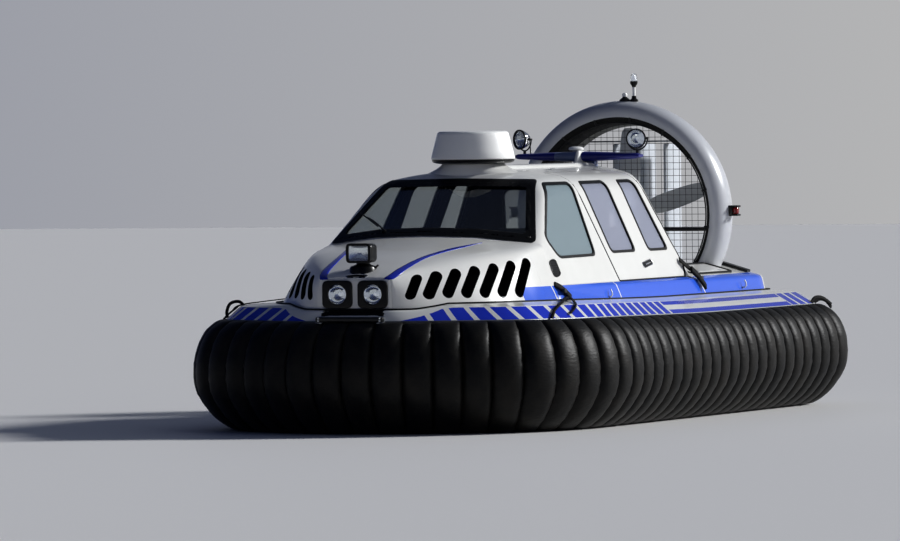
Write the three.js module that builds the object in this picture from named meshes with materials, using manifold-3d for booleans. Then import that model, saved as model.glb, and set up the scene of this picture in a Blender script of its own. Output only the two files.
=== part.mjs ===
// A small cabin hovercraft with an inflated segmented skirt and one ducted propeller.
// Millimetres. X runs forward, Y to port, Z up, and the skids and the skirt stand on Z = 0.
import * as THREE from 'three';
import { mergeVertices } from 'three/addons/utils/BufferGeometryUtils.js';
import Module from 'manifold-3d';

const wasm = await Module();
wasm.setup();

// Clearances
const SEAT = 0.3;
const DOOR_GAP = 5;

// Hull heights, and the half sizes of its deck edge
const HULL_X = 3100;
const HULL_Y = 1500;
const BOTTOM_Z = 150;
const EDGE_Z = 830;
const LIP_Z = 795;
const RUB_Z = 920;
const FLOOR_Z = 620;
const STERN_RADIUS = 150;

// Skirt: how far it bulges past the deck edge, its cloth and its segments
const SKIRT_BULGE = 260;
const SKIRT_WALL = 25;
const SKIRT_SEGMENTS = 82;
const SKIRT_FOLD = 0.2;
const SKIRT_STEPS = 3;

// Superstructure walls
const SHELL = 40;
const DECK_SHELL = 30;
const PANE_OUT = 14;
const PANE_IN = 20;
const SEAM_X = 1700;

// Propeller duct, its axis along X
const DUCT = { z: 1553, throat: 730, lip: 920, lipX: -2600, lipReach: 150, wall: 795, exitX: -2900, exit: 720 };
const PROP = { x: -2710, tip: 700, blades: 5 };
const RUDDER = { count: 3, spacing: 220, pivotX: -2995, lead: 45, chord: 375, low: 1120, high: 2125, swing: 30 };

const craft = new THREE.Group();

const paint = (color, roughness, metalness = 0) => new THREE.MeshStandardMaterial({ color, roughness, metalness });
const GELCOAT = paint('#e9e8e4', 0.25);
const RUBBER = paint('#17171a', 0.55);
const BLACK = paint('#141416', 0.45);
const GLASS = paint('#9db0bf', 0.08);
const ALLOY = paint('#a9adb2', 0.35, 0.9);
const LENS = paint('#dfe5ea', 0.1, 0.6);
const VINYL = paint('#2c2f36', 0.7);
const BLUE = paint('#1d2f8f', 0.3);
const RED = paint('#a01515', 0.3);
const GREEN = paint('#0f7a3c', 0.3);
const CAST = paint('#4a4d52', 0.6, 0.4);

// Joins and cuts

function solid(geometry) {
  const plain = geometry.clone();
  plain.deleteAttribute('normal');
  plain.deleteAttribute('uv');
  const merged = mergeVertices(plain, 1e-3);
  return new wasm.Manifold(new wasm.Mesh({
    numProp: 3,
    vertProperties: new Float32Array(merged.attributes.position.array),
    triVerts: new Uint32Array(merged.index.array),
  }));
}

function skin(shape) {
  const mesh = shape.getMesh();
  const geometry = new THREE.BufferGeometry();
  geometry.setAttribute('position', new THREE.BufferAttribute(mesh.vertProperties, 3));
  geometry.setIndex(new THREE.BufferAttribute(mesh.triVerts, 1));
  geometry.computeVertexNormals();
  return geometry;
}

// The body of a cut shape without the slivers a cut can leave, its faces in one plane merged
const MERGE = 0.02;
function whole(shape) {
  const bodies = shape.asOriginal().simplify(MERGE).decompose();
  return bodies.sort((a, b) => b.volume() - a.volume())[0];
}

function piece(name, shape, material) {
  const mesh = new THREE.Mesh(skin(whole(shape)), material);
  mesh.name = name;
  craft.add(mesh);
  return mesh;
}

const join = (...shapes) => shapes.reduce((sum, shape) => sum.add(shape));
const cut = (shape, ...tools) => tools.reduce((rest, tool) => rest.subtract(tool), shape);

// A closed solid through rings of points; point i of a ring faces point n-1-i across it
function loft(rings) {
  const count = rings[0].length;
  const at = (ring, i) => ring * count + ((i + count) % count);
  const index = [];
  for (let ring = 0; ring + 1 < rings.length; ring += 1) {
    for (let i = 0; i < count; i += 1) {
      index.push(at(ring, i), at(ring, i + 1), at(ring + 1, i + 1));
      index.push(at(ring, i), at(ring + 1, i + 1), at(ring + 1, i));
    }
  }
  const last = rings.length - 1;
  for (let i = 0, j = count - 1; i + 1 < j; i += 1, j -= 1) {
    index.push(at(0, i), at(0, j), at(0, i + 1), at(last, i), at(last, i + 1), at(last, j));
    if (i + 1 < j - 1) {
      index.push(at(0, i + 1), at(0, j), at(0, j - 1), at(last, i + 1), at(last, j - 1), at(last, j));
    }
  }
  const points = rings.flat();
  const volume = (start) => {
    const [a, b, c] = [0, 1, 2].map((k) => points[index[start + k]]);
    return a.dot(b.clone().cross(c));
  };
  let total = 0;
  for (let i = 0; i < index.length; i += 3) total += volume(i);
  if (total < 0) index.reverse();
  const geometry = new THREE.BufferGeometry();
  geometry.setAttribute('position', new THREE.Float32BufferAttribute(points.flatMap((p) => [p.x, p.y, p.z]), 3));
  geometry.setIndex(index);
  return solid(geometry);
}

// A block between two corners
function block(x0, x1, y0, y1, z0, z1) {
  const geometry = new THREE.BoxGeometry(x1 - x0, y1 - y0, z1 - z0);
  geometry.translate((x0 + x1) / 2, (y0 + y1) / 2, (z0 + z1) / 2);
  return solid(geometry);
}

// A profile of [along, radius] pairs turned about an axis through a centre
function turned(profile, segments, centre, axis = new THREE.Vector3(1, 0, 0)) {
  const geometry = new THREE.LatheGeometry(profile.map(([along, radius]) => new THREE.Vector2(radius, along)), segments);
  geometry.applyQuaternion(new THREE.Quaternion().setFromUnitVectors(new THREE.Vector3(0, 1, 0), axis.clone().normalize()));
  geometry.translate(centre.x, centre.y, centre.z);
  let shape = solid(geometry);
  if (shape.volume() < 0) {
    geometry.index.array.reverse();
    shape = solid(geometry);
  }
  return shape;
}

const rod = (from, to, radius, segments = 12) => {
  const axis = to.clone().sub(from);
  const length = axis.length();
  return turned([[0, 0], [0, radius], [length, radius], [length, 0]], segments, from, axis);
};

// An outline with its corners rounded
function rounded(points, radius) {
  const shape = new THREE.Shape();
  points.forEach(([x, y], i) => {
    const here = new THREE.Vector2(x, y);
    const before = new THREE.Vector2(...points[(i + points.length - 1) % points.length]);
    const after = new THREE.Vector2(...points[(i + 1) % points.length]);
    const enter = here.clone().add(before.sub(here).setLength(radius));
    const leave = here.clone().add(after.sub(here).setLength(radius));
    if (i === 0) shape.moveTo(enter.x, enter.y);
    else shape.lineTo(enter.x, enter.y);
    if (radius > 0) shape.quadraticCurveTo(here.x, here.y, leave.x, leave.y);
  });
  shape.closePath();
  return shape;
}

// The outline moved inwards by a distance
function inset(points, distance) {
  const area = THREE.ShapeUtils.area(points.map(([x, y]) => new THREE.Vector2(x, y)));
  const turn = Math.sign(area);
  return points.map(([x, y], i) => {
    const here = new THREE.Vector2(x, y);
    const before = here.clone().sub(new THREE.Vector2(...points[(i + points.length - 1) % points.length])).normalize();
    const after = new THREE.Vector2(...points[(i + 1) % points.length]).sub(here).normalize();
    const normalBefore = new THREE.Vector2(-before.y, before.x).multiplyScalar(turn);
    const normalAfter = new THREE.Vector2(-after.y, after.x).multiplyScalar(turn);
    const middle = normalBefore.add(normalAfter);
    const scale = (2 * distance) / middle.lengthSq();
    return [x + middle.x * scale, y + middle.y * scale];
  });
}

// An outline in X and Z run through Y, or one in Y and Z run through X
function throughY(shape, y0, y1) {
  const geometry = new THREE.ExtrudeGeometry(shape, { depth: y1 - y0, bevelEnabled: false, curveSegments: 4 });
  geometry.rotateX(Math.PI / 2);
  geometry.translate(0, y1, 0);
  return solid(geometry);
}

function throughX(shape, x0, x1) {
  const geometry = new THREE.ExtrudeGeometry(shape, { depth: x1 - x0, bevelEnabled: false, curveSegments: 4 });
  geometry.applyMatrix4(new THREE.Matrix4().makeBasis(
    new THREE.Vector3(0, 1, 0), new THREE.Vector3(0, 0, 1), new THREE.Vector3(1, 0, 0)));
  geometry.translate(x0, 0, 0);
  return solid(geometry);
}

const mirrorY = (shape) => shape.mirror([0, 1, 0]);
const point = (x, y, z) => new THREE.Vector3(x, y, z);
const mirrored = (points) => [...points, ...points.map((p) => point(p.x, -p.y, p.z)).reverse()];

// Hull plan on the port side, from the stem aft: the deck edge, and the rub line where the body sits
const PLAN = [
  // edge x, edge y, rub x, rub y
  [3098, 100, 3016, 90],
  [3060, 345, 3014, 300],
  [2900, 745, 2765, 618],
  [2630, 1175, 2512, 838],
  [2350, 1345, 2205, 980],
  [2020, 1465, 1805, 1050],
  [1680, 1500, 1400, 1072],
];
const RUB_STERN = { x: -2965, y: 1128, radius: 60 };

function planRing(column, sternX, sideY, radius, samples) {
  const bow = new THREE.SplineCurve(PLAN.map((row) => new THREE.Vector2(row[column], row[column + 1])));
  const stern = new THREE.EllipseCurve(sternX + radius, sideY - radius, radius, radius, Math.PI / 2, Math.PI);
  return [...bow.getPoints(samples), ...stern.getPoints(4)];
}

const BOW_SAMPLES = 16;
const edgePlan = planRing(0, -HULL_X, HULL_Y, STERN_RADIUS, BOW_SAMPLES);
const rubPlan = planRing(2, RUB_STERN.x, RUB_STERN.y, RUB_STERN.radius, BOW_SAMPLES);

// Levels of the hull below its deck edge: height, and how far in from the edge
const HULL_LEVELS = [
  [BOTTOM_Z, 480],
  [560, 190],
  [LIP_Z, 0],
  [EDGE_Z, 0],
];
const level = (plan, z, inward) => mirrored(plan.map((p) => point(
  p.x * (1 - inward / HULL_X), p.y * (1 - inward / HULL_Y), z)));
// The top slopes up from the edge to this share of the side deck, which is nearly flat from there in
const BAND_SHARE = 0.45;
const BAND_TOP_Z = 897;
const bandPlan = edgePlan.map((p, i) => p.clone().lerp(rubPlan[i], BAND_SHARE));
const hullForm = (clear) => loft([
  ...HULL_LEVELS.map(([z, inward]) => level(edgePlan, z, inward - clear)),
  level(bandPlan, BAND_TOP_Z, -clear),
  level(rubPlan, RUB_Z, -clear),
]);

// The lip of the duct is part of an ellipse; clear widens it for the pieces that are cut to it
function ductOuter(clear) {
  const { lip, throat, lipX, lipReach, wall, exitX } = DUCT;
  const middle = (lip + throat) / 2;
  const half = (lip - throat) / 2;
  const arc = new THREE.EllipseCurve(lipX, middle, lipReach + clear, half + clear, -Math.PI / 2, Math.PI * 0.84);
  return [...arc.getPoints(14).map((p) => [p.x, p.y]), [lipX - lipReach, wall + clear], [exitX - clear, wall + clear]];
}
const ductAxis = point(0, 0, DUCT.z);
const ductRoom = turned([[DUCT.lipX + DUCT.lipReach + 0.5, 0], [DUCT.lipX + DUCT.lipReach + 0.5, 825],
  ...ductOuter(0.5).slice(6), [DUCT.exitX - 30, DUCT.wall + 0.5], [DUCT.exitX - 30, 0]], 48, ductAxis);

const cabinWell = block(-1500, 1560, -900, 900, FLOOR_Z, 1000);
const engineWell = block(-2350, -1640, -420, 420, 450, 1000);
const hull = cut(hullForm(0), cabinWell, engineWell, ductRoom);
piece('hull', hull, GELCOAT);

// Landing skids under the hull, their ends turned up
for (const [side, y] of [['port', 650], ['starboard', -650]]) {
  const outline = rounded([[-2250, BOTTOM_Z - SEAT], [-2150, 0], [2050, 0], [2250, BOTTOM_Z - SEAT]], 20);
  piece(`skid_${side}`, throughY(outline, y - 50, y + 50), BLACK);
}

// Skirt section: how far out of the deck edge in parts of the bulge, and height
const SKIRT_SECTION = [
  [0.03, 826],
  [0.40, 795],
  [0.80, 680],
  [1.0, 500],
  [0.97, 330],
  [0.68, 190],
  [0.25, 60],
  [-0.5, 0],
];
const skirtPath = new THREE.Path();
skirtPath.moveTo(HULL_X, 0);
skirtPath.splineThru(PLAN.map((row) => new THREE.Vector2(row[0], row[1])));
skirtPath.lineTo(STERN_RADIUS - HULL_X, HULL_Y);
skirtPath.absarc(STERN_RADIUS - HULL_X, HULL_Y - STERN_RADIUS, STERN_RADIUS, Math.PI / 2, Math.PI);
skirtPath.lineTo(-HULL_X, 0);
const SKIRT_COLUMNS = (SKIRT_SEGMENTS / 2) * SKIRT_STEPS;
const skirtSide = skirtPath.getSpacedPoints(SKIRT_COLUMNS);

function skirtColumn(k) {
  const here = skirtSide[k];
  const before = skirtSide[Math.max(k - 1, 0)];
  const after = skirtSide[Math.min(k + 1, SKIRT_COLUMNS)];
  const along = after.clone().sub(before).normalize();
  if (k === 0) along.set(0, 1);
  if (k === SKIRT_COLUMNS) along.set(0, -1);
  const swell = k % SKIRT_STEPS === 0 ? 1 - SKIRT_FOLD : 1;
  const place = (out, z) => point(here.x + along.y * out, here.y - along.x * out, z);
  const outer = SKIRT_SECTION.map(([part, z]) => place(part * SKIRT_BULGE * (part > 0.1 ? swell : 1), z));
  const inner = SKIRT_SECTION.map(([part, z]) => {
    const out = Math.min(part * SKIRT_BULGE - SKIRT_WALL, part * SKIRT_BULGE * (1 - SKIRT_FOLD) - SKIRT_WALL);
    const rise = z > 600 ? -SKIRT_WALL : SKIRT_WALL;
    return place(Math.max(part > 0.3 ? out : SEAT, part < 0 ? part * SKIRT_BULGE : SEAT), z + rise);
  });
  inner[0] = place(SEAT, 826);
  return [...outer, ...inner.reverse()];
}

// The side is cut into bow, side and stern lengths where segments meet
const BOW_END = 12 * SKIRT_STEPS;
const SIDE_END = 34 * SKIRT_STEPS;
const skirtRun = (from, to) => {
  const rings = [];
  for (let k = from; k <= to; k += 1) rings.push(skirtColumn(k));
  return rings;
};
const flip = (ring) => ring.map((p) => point(p.x, -p.y, p.z));
const nudge = (rings, distance) => {
  const [first, next] = rings;
  const step = next[0].clone().sub(first[0]).setLength(distance);
  return [first.map((p) => p.clone().add(step)), ...rings.slice(1)];
};
const bowRun = skirtRun(0, BOW_END);
const sideRun = nudge(skirtRun(BOW_END, SIDE_END), SEAT);
const sternRun = nudge(skirtRun(SIDE_END, SKIRT_COLUMNS), SEAT);
const skirt = (rings) => cut(loft(rings), hullForm(SEAT));
piece('skirt_bow', skirt([...bowRun.slice(1).reverse().map(flip), ...bowRun]), RUBBER);
piece('skirt_port', skirt(sideRun), RUBBER);
piece('skirt_starboard', skirt(sideRun.map(flip)), RUBBER);
piece('skirt_stern', skirt([...sternRun, ...sternRun.slice(0, -1).reverse().map(flip)]), RUBBER);

// Nose sections from the headlamps aft; the low point is at LOW_Z, the crown point at CROWN_Y
const LOW_Z = 1065;
const CROWN_Y = 80;
const BODY_BASE = RUB_Z + SEAT;
const NOSE = [
  // x, base y, low y, high y, high z, shoulder y, shoulder z, crease y, crease z, crown z
  [3000, 287, 285, 281, 1120, 276, 1152, 262, 1164, 1170],
  [2930, 400, 378, 352, 1135, 325, 1180, 290, 1196, 1204],
  [2800, 550, 505, 445, 1170, 385, 1222, 308, 1240, 1249],
  [2500, 820, 742, 640, 1210, 530, 1280, 345, 1311, 1323],
  [2200, 960, 880, 770, 1240, 665, 1322, 405, 1358, 1376],
  [1900, 1015, 955, 868, 1262, 770, 1348, 480, 1394, 1420],
  [1700, 1035, 995, 905, 1280, 835, 1362, 545, 1416, 1452],
  [1450, 1046, 1020, 923, 1298, 872, 1392, 620, 1440, 1490],
];
const baseHeight = (inward) => (inward > 0 ? FLOOR_Z : BODY_BASE);

function noseForm(inward) {
  const rings = NOSE.map(([x, base, low, highY, highZ, shoulderY, shoulderZ, creaseY, creaseZ, crownZ], i) => mirrored([
    point(i === 0 ? x - inward : x, base - inward, baseHeight(inward)),
    point(i === 0 ? x - inward : x, low - inward, LOW_Z - inward * 0.2),
    point(i === 0 ? x - inward : x, highY - inward, highZ - inward * 0.4),
    point(i === 0 ? x - inward : x, shoulderY - inward * 0.8, shoulderZ - inward * 0.7),
    point(i === 0 ? x - inward : x, creaseY - inward * 0.4, creaseZ - inward),
    point(i === 0 ? x - inward : x, CROWN_Y, crownZ - inward),
  ]));
  return loft(rings);
}

// Cabin sections; its sides lean in by 23 degrees from waist to eave
const BAND_Z = 1050;
const WAIST_Z = 1078;
const EAVE_Z = 1838;
const CABIN = [
  // x, base y, band y, waist y, eave y, roof drop
  [1800, 985, 925, 900, 672, 60],
  [1450, 1048, 1030, 1018, 700, 45],
  [900, 1072, 1050, 1026, 706, 22],
  [500, 1092, 1066, 1030, 708, 4],
  [-1750, 1120, 1082, 1024, 696, 0],
];
function cabinRings(inward) {
  return CABIN.map(([x, base, band, waist, eave, drop]) => mirrored([
    point(x, base - inward, baseHeight(inward)),
    point(x, band - inward, BAND_Z),
    point(x, waist - inward * 1.1, WAIST_Z),
    point(x, eave - inward * 1.05, EAVE_Z - drop * 0.2 - inward * 0.1),
    point(x, eave - 48 - inward * 0.6, 1888 - drop * 0.5 - inward * 0.9),
    point(x, eave - 228, 1932 - drop - inward),
    point(x, CROWN_Y, 1960 - drop - inward),
  ]));
}

// Windscreen and rear bulkhead faces: at each height, the x of the middle, the x and y of the corners
const SCREEN = [
  // z, middle x, corner x, corner y
  [1300, 1961, 1602, 890],
  [2050, 656, 668, 548],
];
const REAR = [
  [900, -1690, -1480, 1105],
  [1075, -1670, -1420, 1030],
  [1860, -1605, -1150, 697],
  [2060, -1590, -1080, 612],
];
const BOW_STEPS = 6;
function bowedRing([z, middle, corner, cornerY], shift, farX) {
  const ring = [];
  for (let k = 1; k <= BOW_STEPS; k += 1) {
    const part = (k - 0.5) / (BOW_STEPS - 0.5);
    ring.push(point(middle + (corner - middle) * part * part + shift, cornerY * part, z));
  }
  const back = Math.sign(corner - farX);
  ring.push(point(corner + 75 * back + shift, cornerY + 48, z));
  ring.push(point(corner + 700 * back + shift, cornerY + 600, z));
  ring.push(point(farX, cornerY + 600, z));
  return mirrored(ring.reverse());
}
const screenFront = (inward) => loft(SCREEN.map((row) => bowedRing(row, -1.9 * inward, 3200)));
const rearBehind = (inward) => loft(REAR.map((row) => bowedRing(row, inward, -3300)));

const cabinForm = (inward) => cut(loft(cabinRings(inward)), screenFront(inward), rearBehind(inward));

// A flat ridge along the roof under the radar, the light bar and the fin
const ridgeShape = rounded([[-190, 1900], [190, 1900], [140, 1985], [-140, 1985]], 12);
const roofRidge = cut(throughX(ridgeShape, -1560, 700), screenFront(0), cabinForm(SHELL));

// The louvre slots on the nose sides taper from a circle at the foot to one at the head: x, z and radius
const LOUVRES = [
  [[2918, 1034, 26], [2836, 1156, 38]],
  [[2812, 1036, 26], [2704, 1174, 38]],
  [[2686, 1038, 29], [2566, 1188, 41]],
  [[2556, 1041, 31], [2400, 1204, 42]],
  [[2402, 1045, 37], [2204, 1219, 44]],
  [[2224, 1048, 42], [2020, 1230, 49]],
  [[2026, 1052, 46], [1824, 1242, 53]],
];
function louvreOutline([[footX, footZ, footRadius], [headX, headZ, headRadius]]) {
  const lean = Math.atan2(headZ - footZ, headX - footX);
  const shape = new THREE.Shape();
  shape.absarc(headX, headZ, headRadius, lean - Math.PI / 2, lean + Math.PI / 2, false);
  shape.absarc(footX, footZ, footRadius, lean + Math.PI / 2, lean + Math.PI * 1.5, false);
  shape.closePath();
  return shape;
}
const louvreSlots = () => join(...LOUVRES.map((row) => throughY(louvreOutline(row), 330, 1100)));

const bodyOuter = join(noseForm(0), cabinForm(0));
const bodyRoom = join(noseForm(DECK_SHELL), cabinForm(SHELL));
const bodyShell = cut(bodyOuter, bodyRoom);
const ahead = block(SEAM_X + SEAT, 3200, -1300, 1300, 800, 2100);
const behind = block(-1800, SEAM_X, -1300, 1300, 800, 2100);
const firewall = block(SEAM_X + SEAT, SEAM_X + 25, -1300, 1300, 800, 2100).intersect(noseForm(0));
const portSlots = louvreSlots();

// Headlamps: a square bezel and a round bowl through the nose face
const LAMP = { y: 147, z: 1050, half: 108, bowl: 80, depth: 75 };
const lampHoles = [LAMP.y, -LAMP.y].map((y) => rod(point(2900, y, LAMP.z), point(3050, y, LAMP.z), LAMP.bowl + 6.3, 24));
piece('nose_fairing', cut(join(bodyShell.intersect(ahead), firewall), portSlots, mirrorY(portSlots), ...lampHoles), GELCOAT);

for (const [side, y] of [['port', LAMP.y], ['starboard', -LAMP.y]]) {
  const bezel = throughX(rounded([[y - LAMP.half, LAMP.z - LAMP.half], [y + LAMP.half, LAMP.z - LAMP.half],
    [y + LAMP.half, LAMP.z + LAMP.half], [y - LAMP.half, LAMP.z + LAMP.half]], 40), 3000 + SEAT, 3016);
  const cup = turned([[2925, 0], [2925, 40], [2960, 78], [3010, LAMP.bowl + 6], [3010, 0]], 24, point(0, y, LAMP.z));
  const bowl = turned([[2935, 0], [2935, 34], [2965, 68], [3020, LAMP.bowl], [3020, 0]], 24, point(0, y, LAMP.z));
  piece(`headlight_${side}`, cut(join(bezel, cup), bowl), BLACK);
}

// Side windows and doors, outlines in X and Z
const QUARTER_WINDOW = [[860, 1848], [360, 1848], [460, 1290], [1200, 1285], [1320, 1437]];
const DOOR_WINDOWS = {
  front: [[150, 1848], [-380, 1848], [-420, 1303], [95, 1303]],
  rear: [[-665, 1848], [-990, 1848], [-1130, 1303], [-710, 1303]],
};
const WINDOW_RADIUS = 55;
const DOOR_TOP_Y = 450;
const DOOR_OUTLINE = [[170, 1080], [300, 1830], [302, 2060], [-1095, 2060], [-1097, 1845], [-1330, 1190], [-1270, 1080]];
const sideCut = (outline, radius, y0 = 500) => throughY(rounded(outline, radius), y0, 1300);
const doorHole = throughY(rounded(DOOR_OUTLINE, 0), DOOR_TOP_Y, 1300);
const doorBlank = throughY(rounded(inset(DOOR_OUTLINE, DOOR_GAP), 0), DOOR_TOP_Y + DOOR_GAP, 1300);
const quarterHole = sideCut(QUARTER_WINDOW, WINDOW_RADIUS);
const doorHoles = Object.values(DOOR_WINDOWS).map((outline) => sideCut(outline, WINDOW_RADIUS));

// Windscreen and rear window openings, outlines in Y and Z
const SCREEN_OPENING = [[-585, 1862], [-800, 1424], [-420, 1468], [0, 1482], [420, 1468], [800, 1424], [585, 1862], [0, 1872]];
const REAR_OPENING = [[250, 1400], [250, 1780], [560, 1780], [600, 1400]];
const screenHole = throughX(rounded(SCREEN_OPENING, 40), 700, 1760);
const rearHole = throughX(rounded(REAR_OPENING, 70), -1800, -1150);

// Hinges of the gull-wing doors on the roof
const HINGE = { z: 1945, radius: 9, leaf: 45, length: 34, xs: [150, -940] };
function hingeHalf(x, onDoor) {
  const start = onDoor ? x + HINGE.length / 2 + SEAT : x - HINGE.length / 2;
  const end = start + HINGE.length;
  const barrel = rod(point(start, DOOR_TOP_Y, HINGE.z), point(end, DOOR_TOP_Y, HINGE.z), HINGE.radius);
  const away = onDoor ? 1 : -1;
  const [inner, outer] = [DOOR_TOP_Y, DOOR_TOP_Y + away * HINGE.leaf].sort((a, b) => a - b);
  const leaf = block(start, end, inner, outer, HINGE.z - 4, HINGE.z + HINGE.radius);
  const footY = [DOOR_TOP_Y + away * (HINGE.leaf - 15), DOOR_TOP_Y + away * HINGE.leaf].sort((a, b) => a - b);
  return join(barrel, leaf, block(start, end, footY[0], footY[1], 1910, HINGE.z));
}
const roofHinges = join(...HINGE.xs.map((x) => hingeHalf(x, false)));
const doorHinges = join(...HINGE.xs.map((x) => hingeHalf(x, true)));

const walls = join(bodyShell.intersect(behind), roofRidge);
const openings = [screenHole, rearHole, quarterHole, doorHole];
const cabin = join(cut(walls, ...openings, ...openings.slice(1).map(mirrorY)), roofHinges, mirrorY(roofHinges));
piece('cabin_shell', cabin, GELCOAT);

const paneSkin = cut(cabinForm(PANE_OUT), cabinForm(PANE_IN));
const door = join(cut(bodyShell.intersect(doorBlank), ...doorHoles), doorHinges);
piece('door_port', door, GELCOAT);
piece('door_starboard', mirrorY(door), GELCOAT);

piece('windscreen', paneSkin.intersect(throughX(rounded(inset(SCREEN_OPENING, SEAT), 40), 700, 1760)), GLASS);
const rearPane = paneSkin.intersect(throughX(rounded(inset(REAR_OPENING, SEAT), 70), -1800, -1150));
const quarterPane = paneSkin.intersect(sideCut(inset(QUARTER_WINDOW, SEAT), WINDOW_RADIUS));
for (const [side, hand] of [['port', (s) => s], ['starboard', mirrorY]]) {
  piece(`quarter_glass_${side}`, hand(quarterPane), GLASS);
  piece(`rear_glass_${side}`, hand(rearPane), GLASS);
  for (const [place, outline] of Object.entries(DOOR_WINDOWS)) {
    piece(`door_glass_${place}_${side}`, hand(paneSkin.intersect(sideCut(inset(outline, SEAT), WINDOW_RADIUS))), GLASS);
  }
}

// Rear deck over the engine: its sections, then the room for the duct
const DECK = [
  // x, base y, band y, edge y, edge z, crown z
  [-1350, 1113, 1076, 945, 1170, 1192],
  [-2300, 1110, 1076, 942, 1140, 1160],
  [-2950, 1092, 1060, 930, 1072, 1086],
];
function deckForm(inward) {
  return loft(DECK.map(([x, base, band, edgeY, edgeZ, crownZ], i) => {
    const end = i === DECK.length - 1 ? x + inward * 0.6 : x;
    return mirrored([
      point(end, base - inward, baseHeight(inward)),
      point(end, band - inward, BAND_Z - inward * 0.5),
      point(end, edgeY - inward, edgeZ - inward),
      point(end, edgeY - 440, (edgeZ + crownZ) / 2 + 4 - inward),
      point(end, CROWN_Y, crownZ - inward),
    ]);
  }));
}
const rearDeck = cut(cut(deckForm(0), deckForm(DECK_SHELL)).intersect(rearBehind(-SEAT)), ductRoom);
piece('engine_deck', rearDeck, GELCOAT);
piece('engine', block(-2300, -1720, -330, 330, 450 + SEAT, 1060), CAST);

// Duct ring
const ductProfile = [...ductOuter(0), [DUCT.exitX, DUCT.exit], [DUCT.lipX, DUCT.throat]];
piece('duct', turned([...ductProfile.slice(0, -1), ductProfile[0]], 48, ductAxis), GELCOAT);
const throatClear = turned([[DUCT.lipX + DUCT.lipReach, 825], ...ductOuter(SEAT).slice(0, 6).reverse(),
  [DUCT.exitX - 5, DUCT.exit - SEAT], [DUCT.exitX - 5, 1100], [DUCT.lipX + DUCT.lipReach, 1100],
  [DUCT.lipX + DUCT.lipReach, 825]], 48, ductAxis);

// Wire guard in front of the propeller
const GUARD = { x: -2490, radius: 748, ring: 12, wire: 4, pitch: 186 };
function ductGuard() {
  const ring = turned([[GUARD.x - 12, GUARD.radius - GUARD.ring], [GUARD.x, GUARD.radius - GUARD.ring],
    [GUARD.x, GUARD.radius + 8], [GUARD.x - 12, GUARD.radius + 8], [GUARD.x - 12, GUARD.radius - GUARD.ring]], 48, ductAxis);
  let guard = ring;
  for (let k = -3; k <= 3; k += 1) {
    const offset = k * GUARD.pitch;
    const half = Math.sqrt((GUARD.radius - 4) ** 2 - offset ** 2);
    guard = join(guard, block(GUARD.x - 6, GUARD.x - 2, -half, half, DUCT.z + offset - 2, DUCT.z + offset + 2),
      block(GUARD.x - 9, GUARD.x - 5, offset - 2, offset + 2, DUCT.z - half, DUCT.z + half));
  }
  return cut(guard, throatClear);
}
piece('duct_guard', ductGuard(), BLACK);

// Column, crossbar and bearing that carry the propeller
const bearing = rod(point(PROP.x + 75, 0, DUCT.z), point(-2560, 0, DUCT.z), 75, 20);
const column = block(-2615, -2565, -45, 45, DUCT.z - 760, DUCT.z);
const crossbar = block(-2600, -2570, -760, 760, 1415, 1445);
piece('prop_frame', cut(join(column, crossbar, bearing), throatClear), ALLOY);

// Propeller: a spun hub and twisted blades
const BLADE = [
  // radius, chord, thickness, pitch in degrees
  [60, 120, 22, 52],
  [260, 170, 18, 38],
  [480, 160, 13, 27],
  [PROP.tip, 120, 8, 20],
];
function blade(turn) {
  const rings = BLADE.map(([radius, chord, thick, pitch]) => {
    const a = THREE.MathUtils.degToRad(pitch);
    const corners = [[-0.5, 0], [-0.2, 0.5], [0.3, 0.35], [0.5, 0], [0.3, -0.35], [-0.2, -0.5]];
    return corners.map(([along, up]) => {
      const p = point(0, along * chord, up * thick);
      return point(p.y * Math.sin(a) + p.z * Math.cos(a), p.y * Math.cos(a) - p.z * Math.sin(a), radius)
        .applyAxisAngle(new THREE.Vector3(1, 0, 0), turn).add(point(PROP.x, 0, DUCT.z));
    });
  });
  return loft(rings.map((ring) => [ring[1], ring[2], ring[3], ring[4], ring[5], ring[0]]));
}
const hub = turned([[PROP.x - 120, 0], [PROP.x - 95, 60], [PROP.x - 40, 92], [PROP.x + 55, 92], [PROP.x + 68, 80],
  [PROP.x + 68, 22], [PROP.x + 75 - SEAT, 22], [PROP.x + 75 - SEAT, 0]], 24, ductAxis);
const blades = Array.from({ length: PROP.blades }, (_, i) => blade((i * 2 * Math.PI) / PROP.blades));
piece('propeller', join(hub, ...blades), BLACK);

// Rudder rails on the duct's rear edge, and the rudders between them
const RAIL = { front: DUCT.exitX - SEAT, back: -3025, thick: 12 };
const railTop = RUDDER.high + 10;
const railLow = RUDDER.low - 10;
piece('rudder_rail_top', block(RAIL.back, RAIL.front, -490, 490, railTop, railTop + RAIL.thick), ALLOY);
piece('rudder_rail_low', block(RAIL.back, RAIL.front, -620, 620, railLow - RAIL.thick, railLow), ALLOY);
for (let k = 0; k < RUDDER.count; k += 1) {
  const y = (k - (RUDDER.count - 1) / 2) * RUDDER.spacing;
  const lead = RUDDER.pivotX + RUDDER.lead;
  const outline = [[lead, 0], [lead - 20, 12], [lead - 120, 16], [lead - RUDDER.chord, 2]];
  const vane = [RUDDER.low, RUDDER.high].map((z) => mirrored(outline.map(([x, half]) => point(x, half + 0.5, z))));
  const vaneShape = loft(vane).translate([0, y, 0]);
  const pin = rod(point(RUDDER.pivotX, y, railLow + SEAT), point(RUDDER.pivotX, y, railTop - SEAT), 9, 12);
  piece(`rudder_${k + 1}`, join(vaneShape, pin), ALLOY);
}

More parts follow.
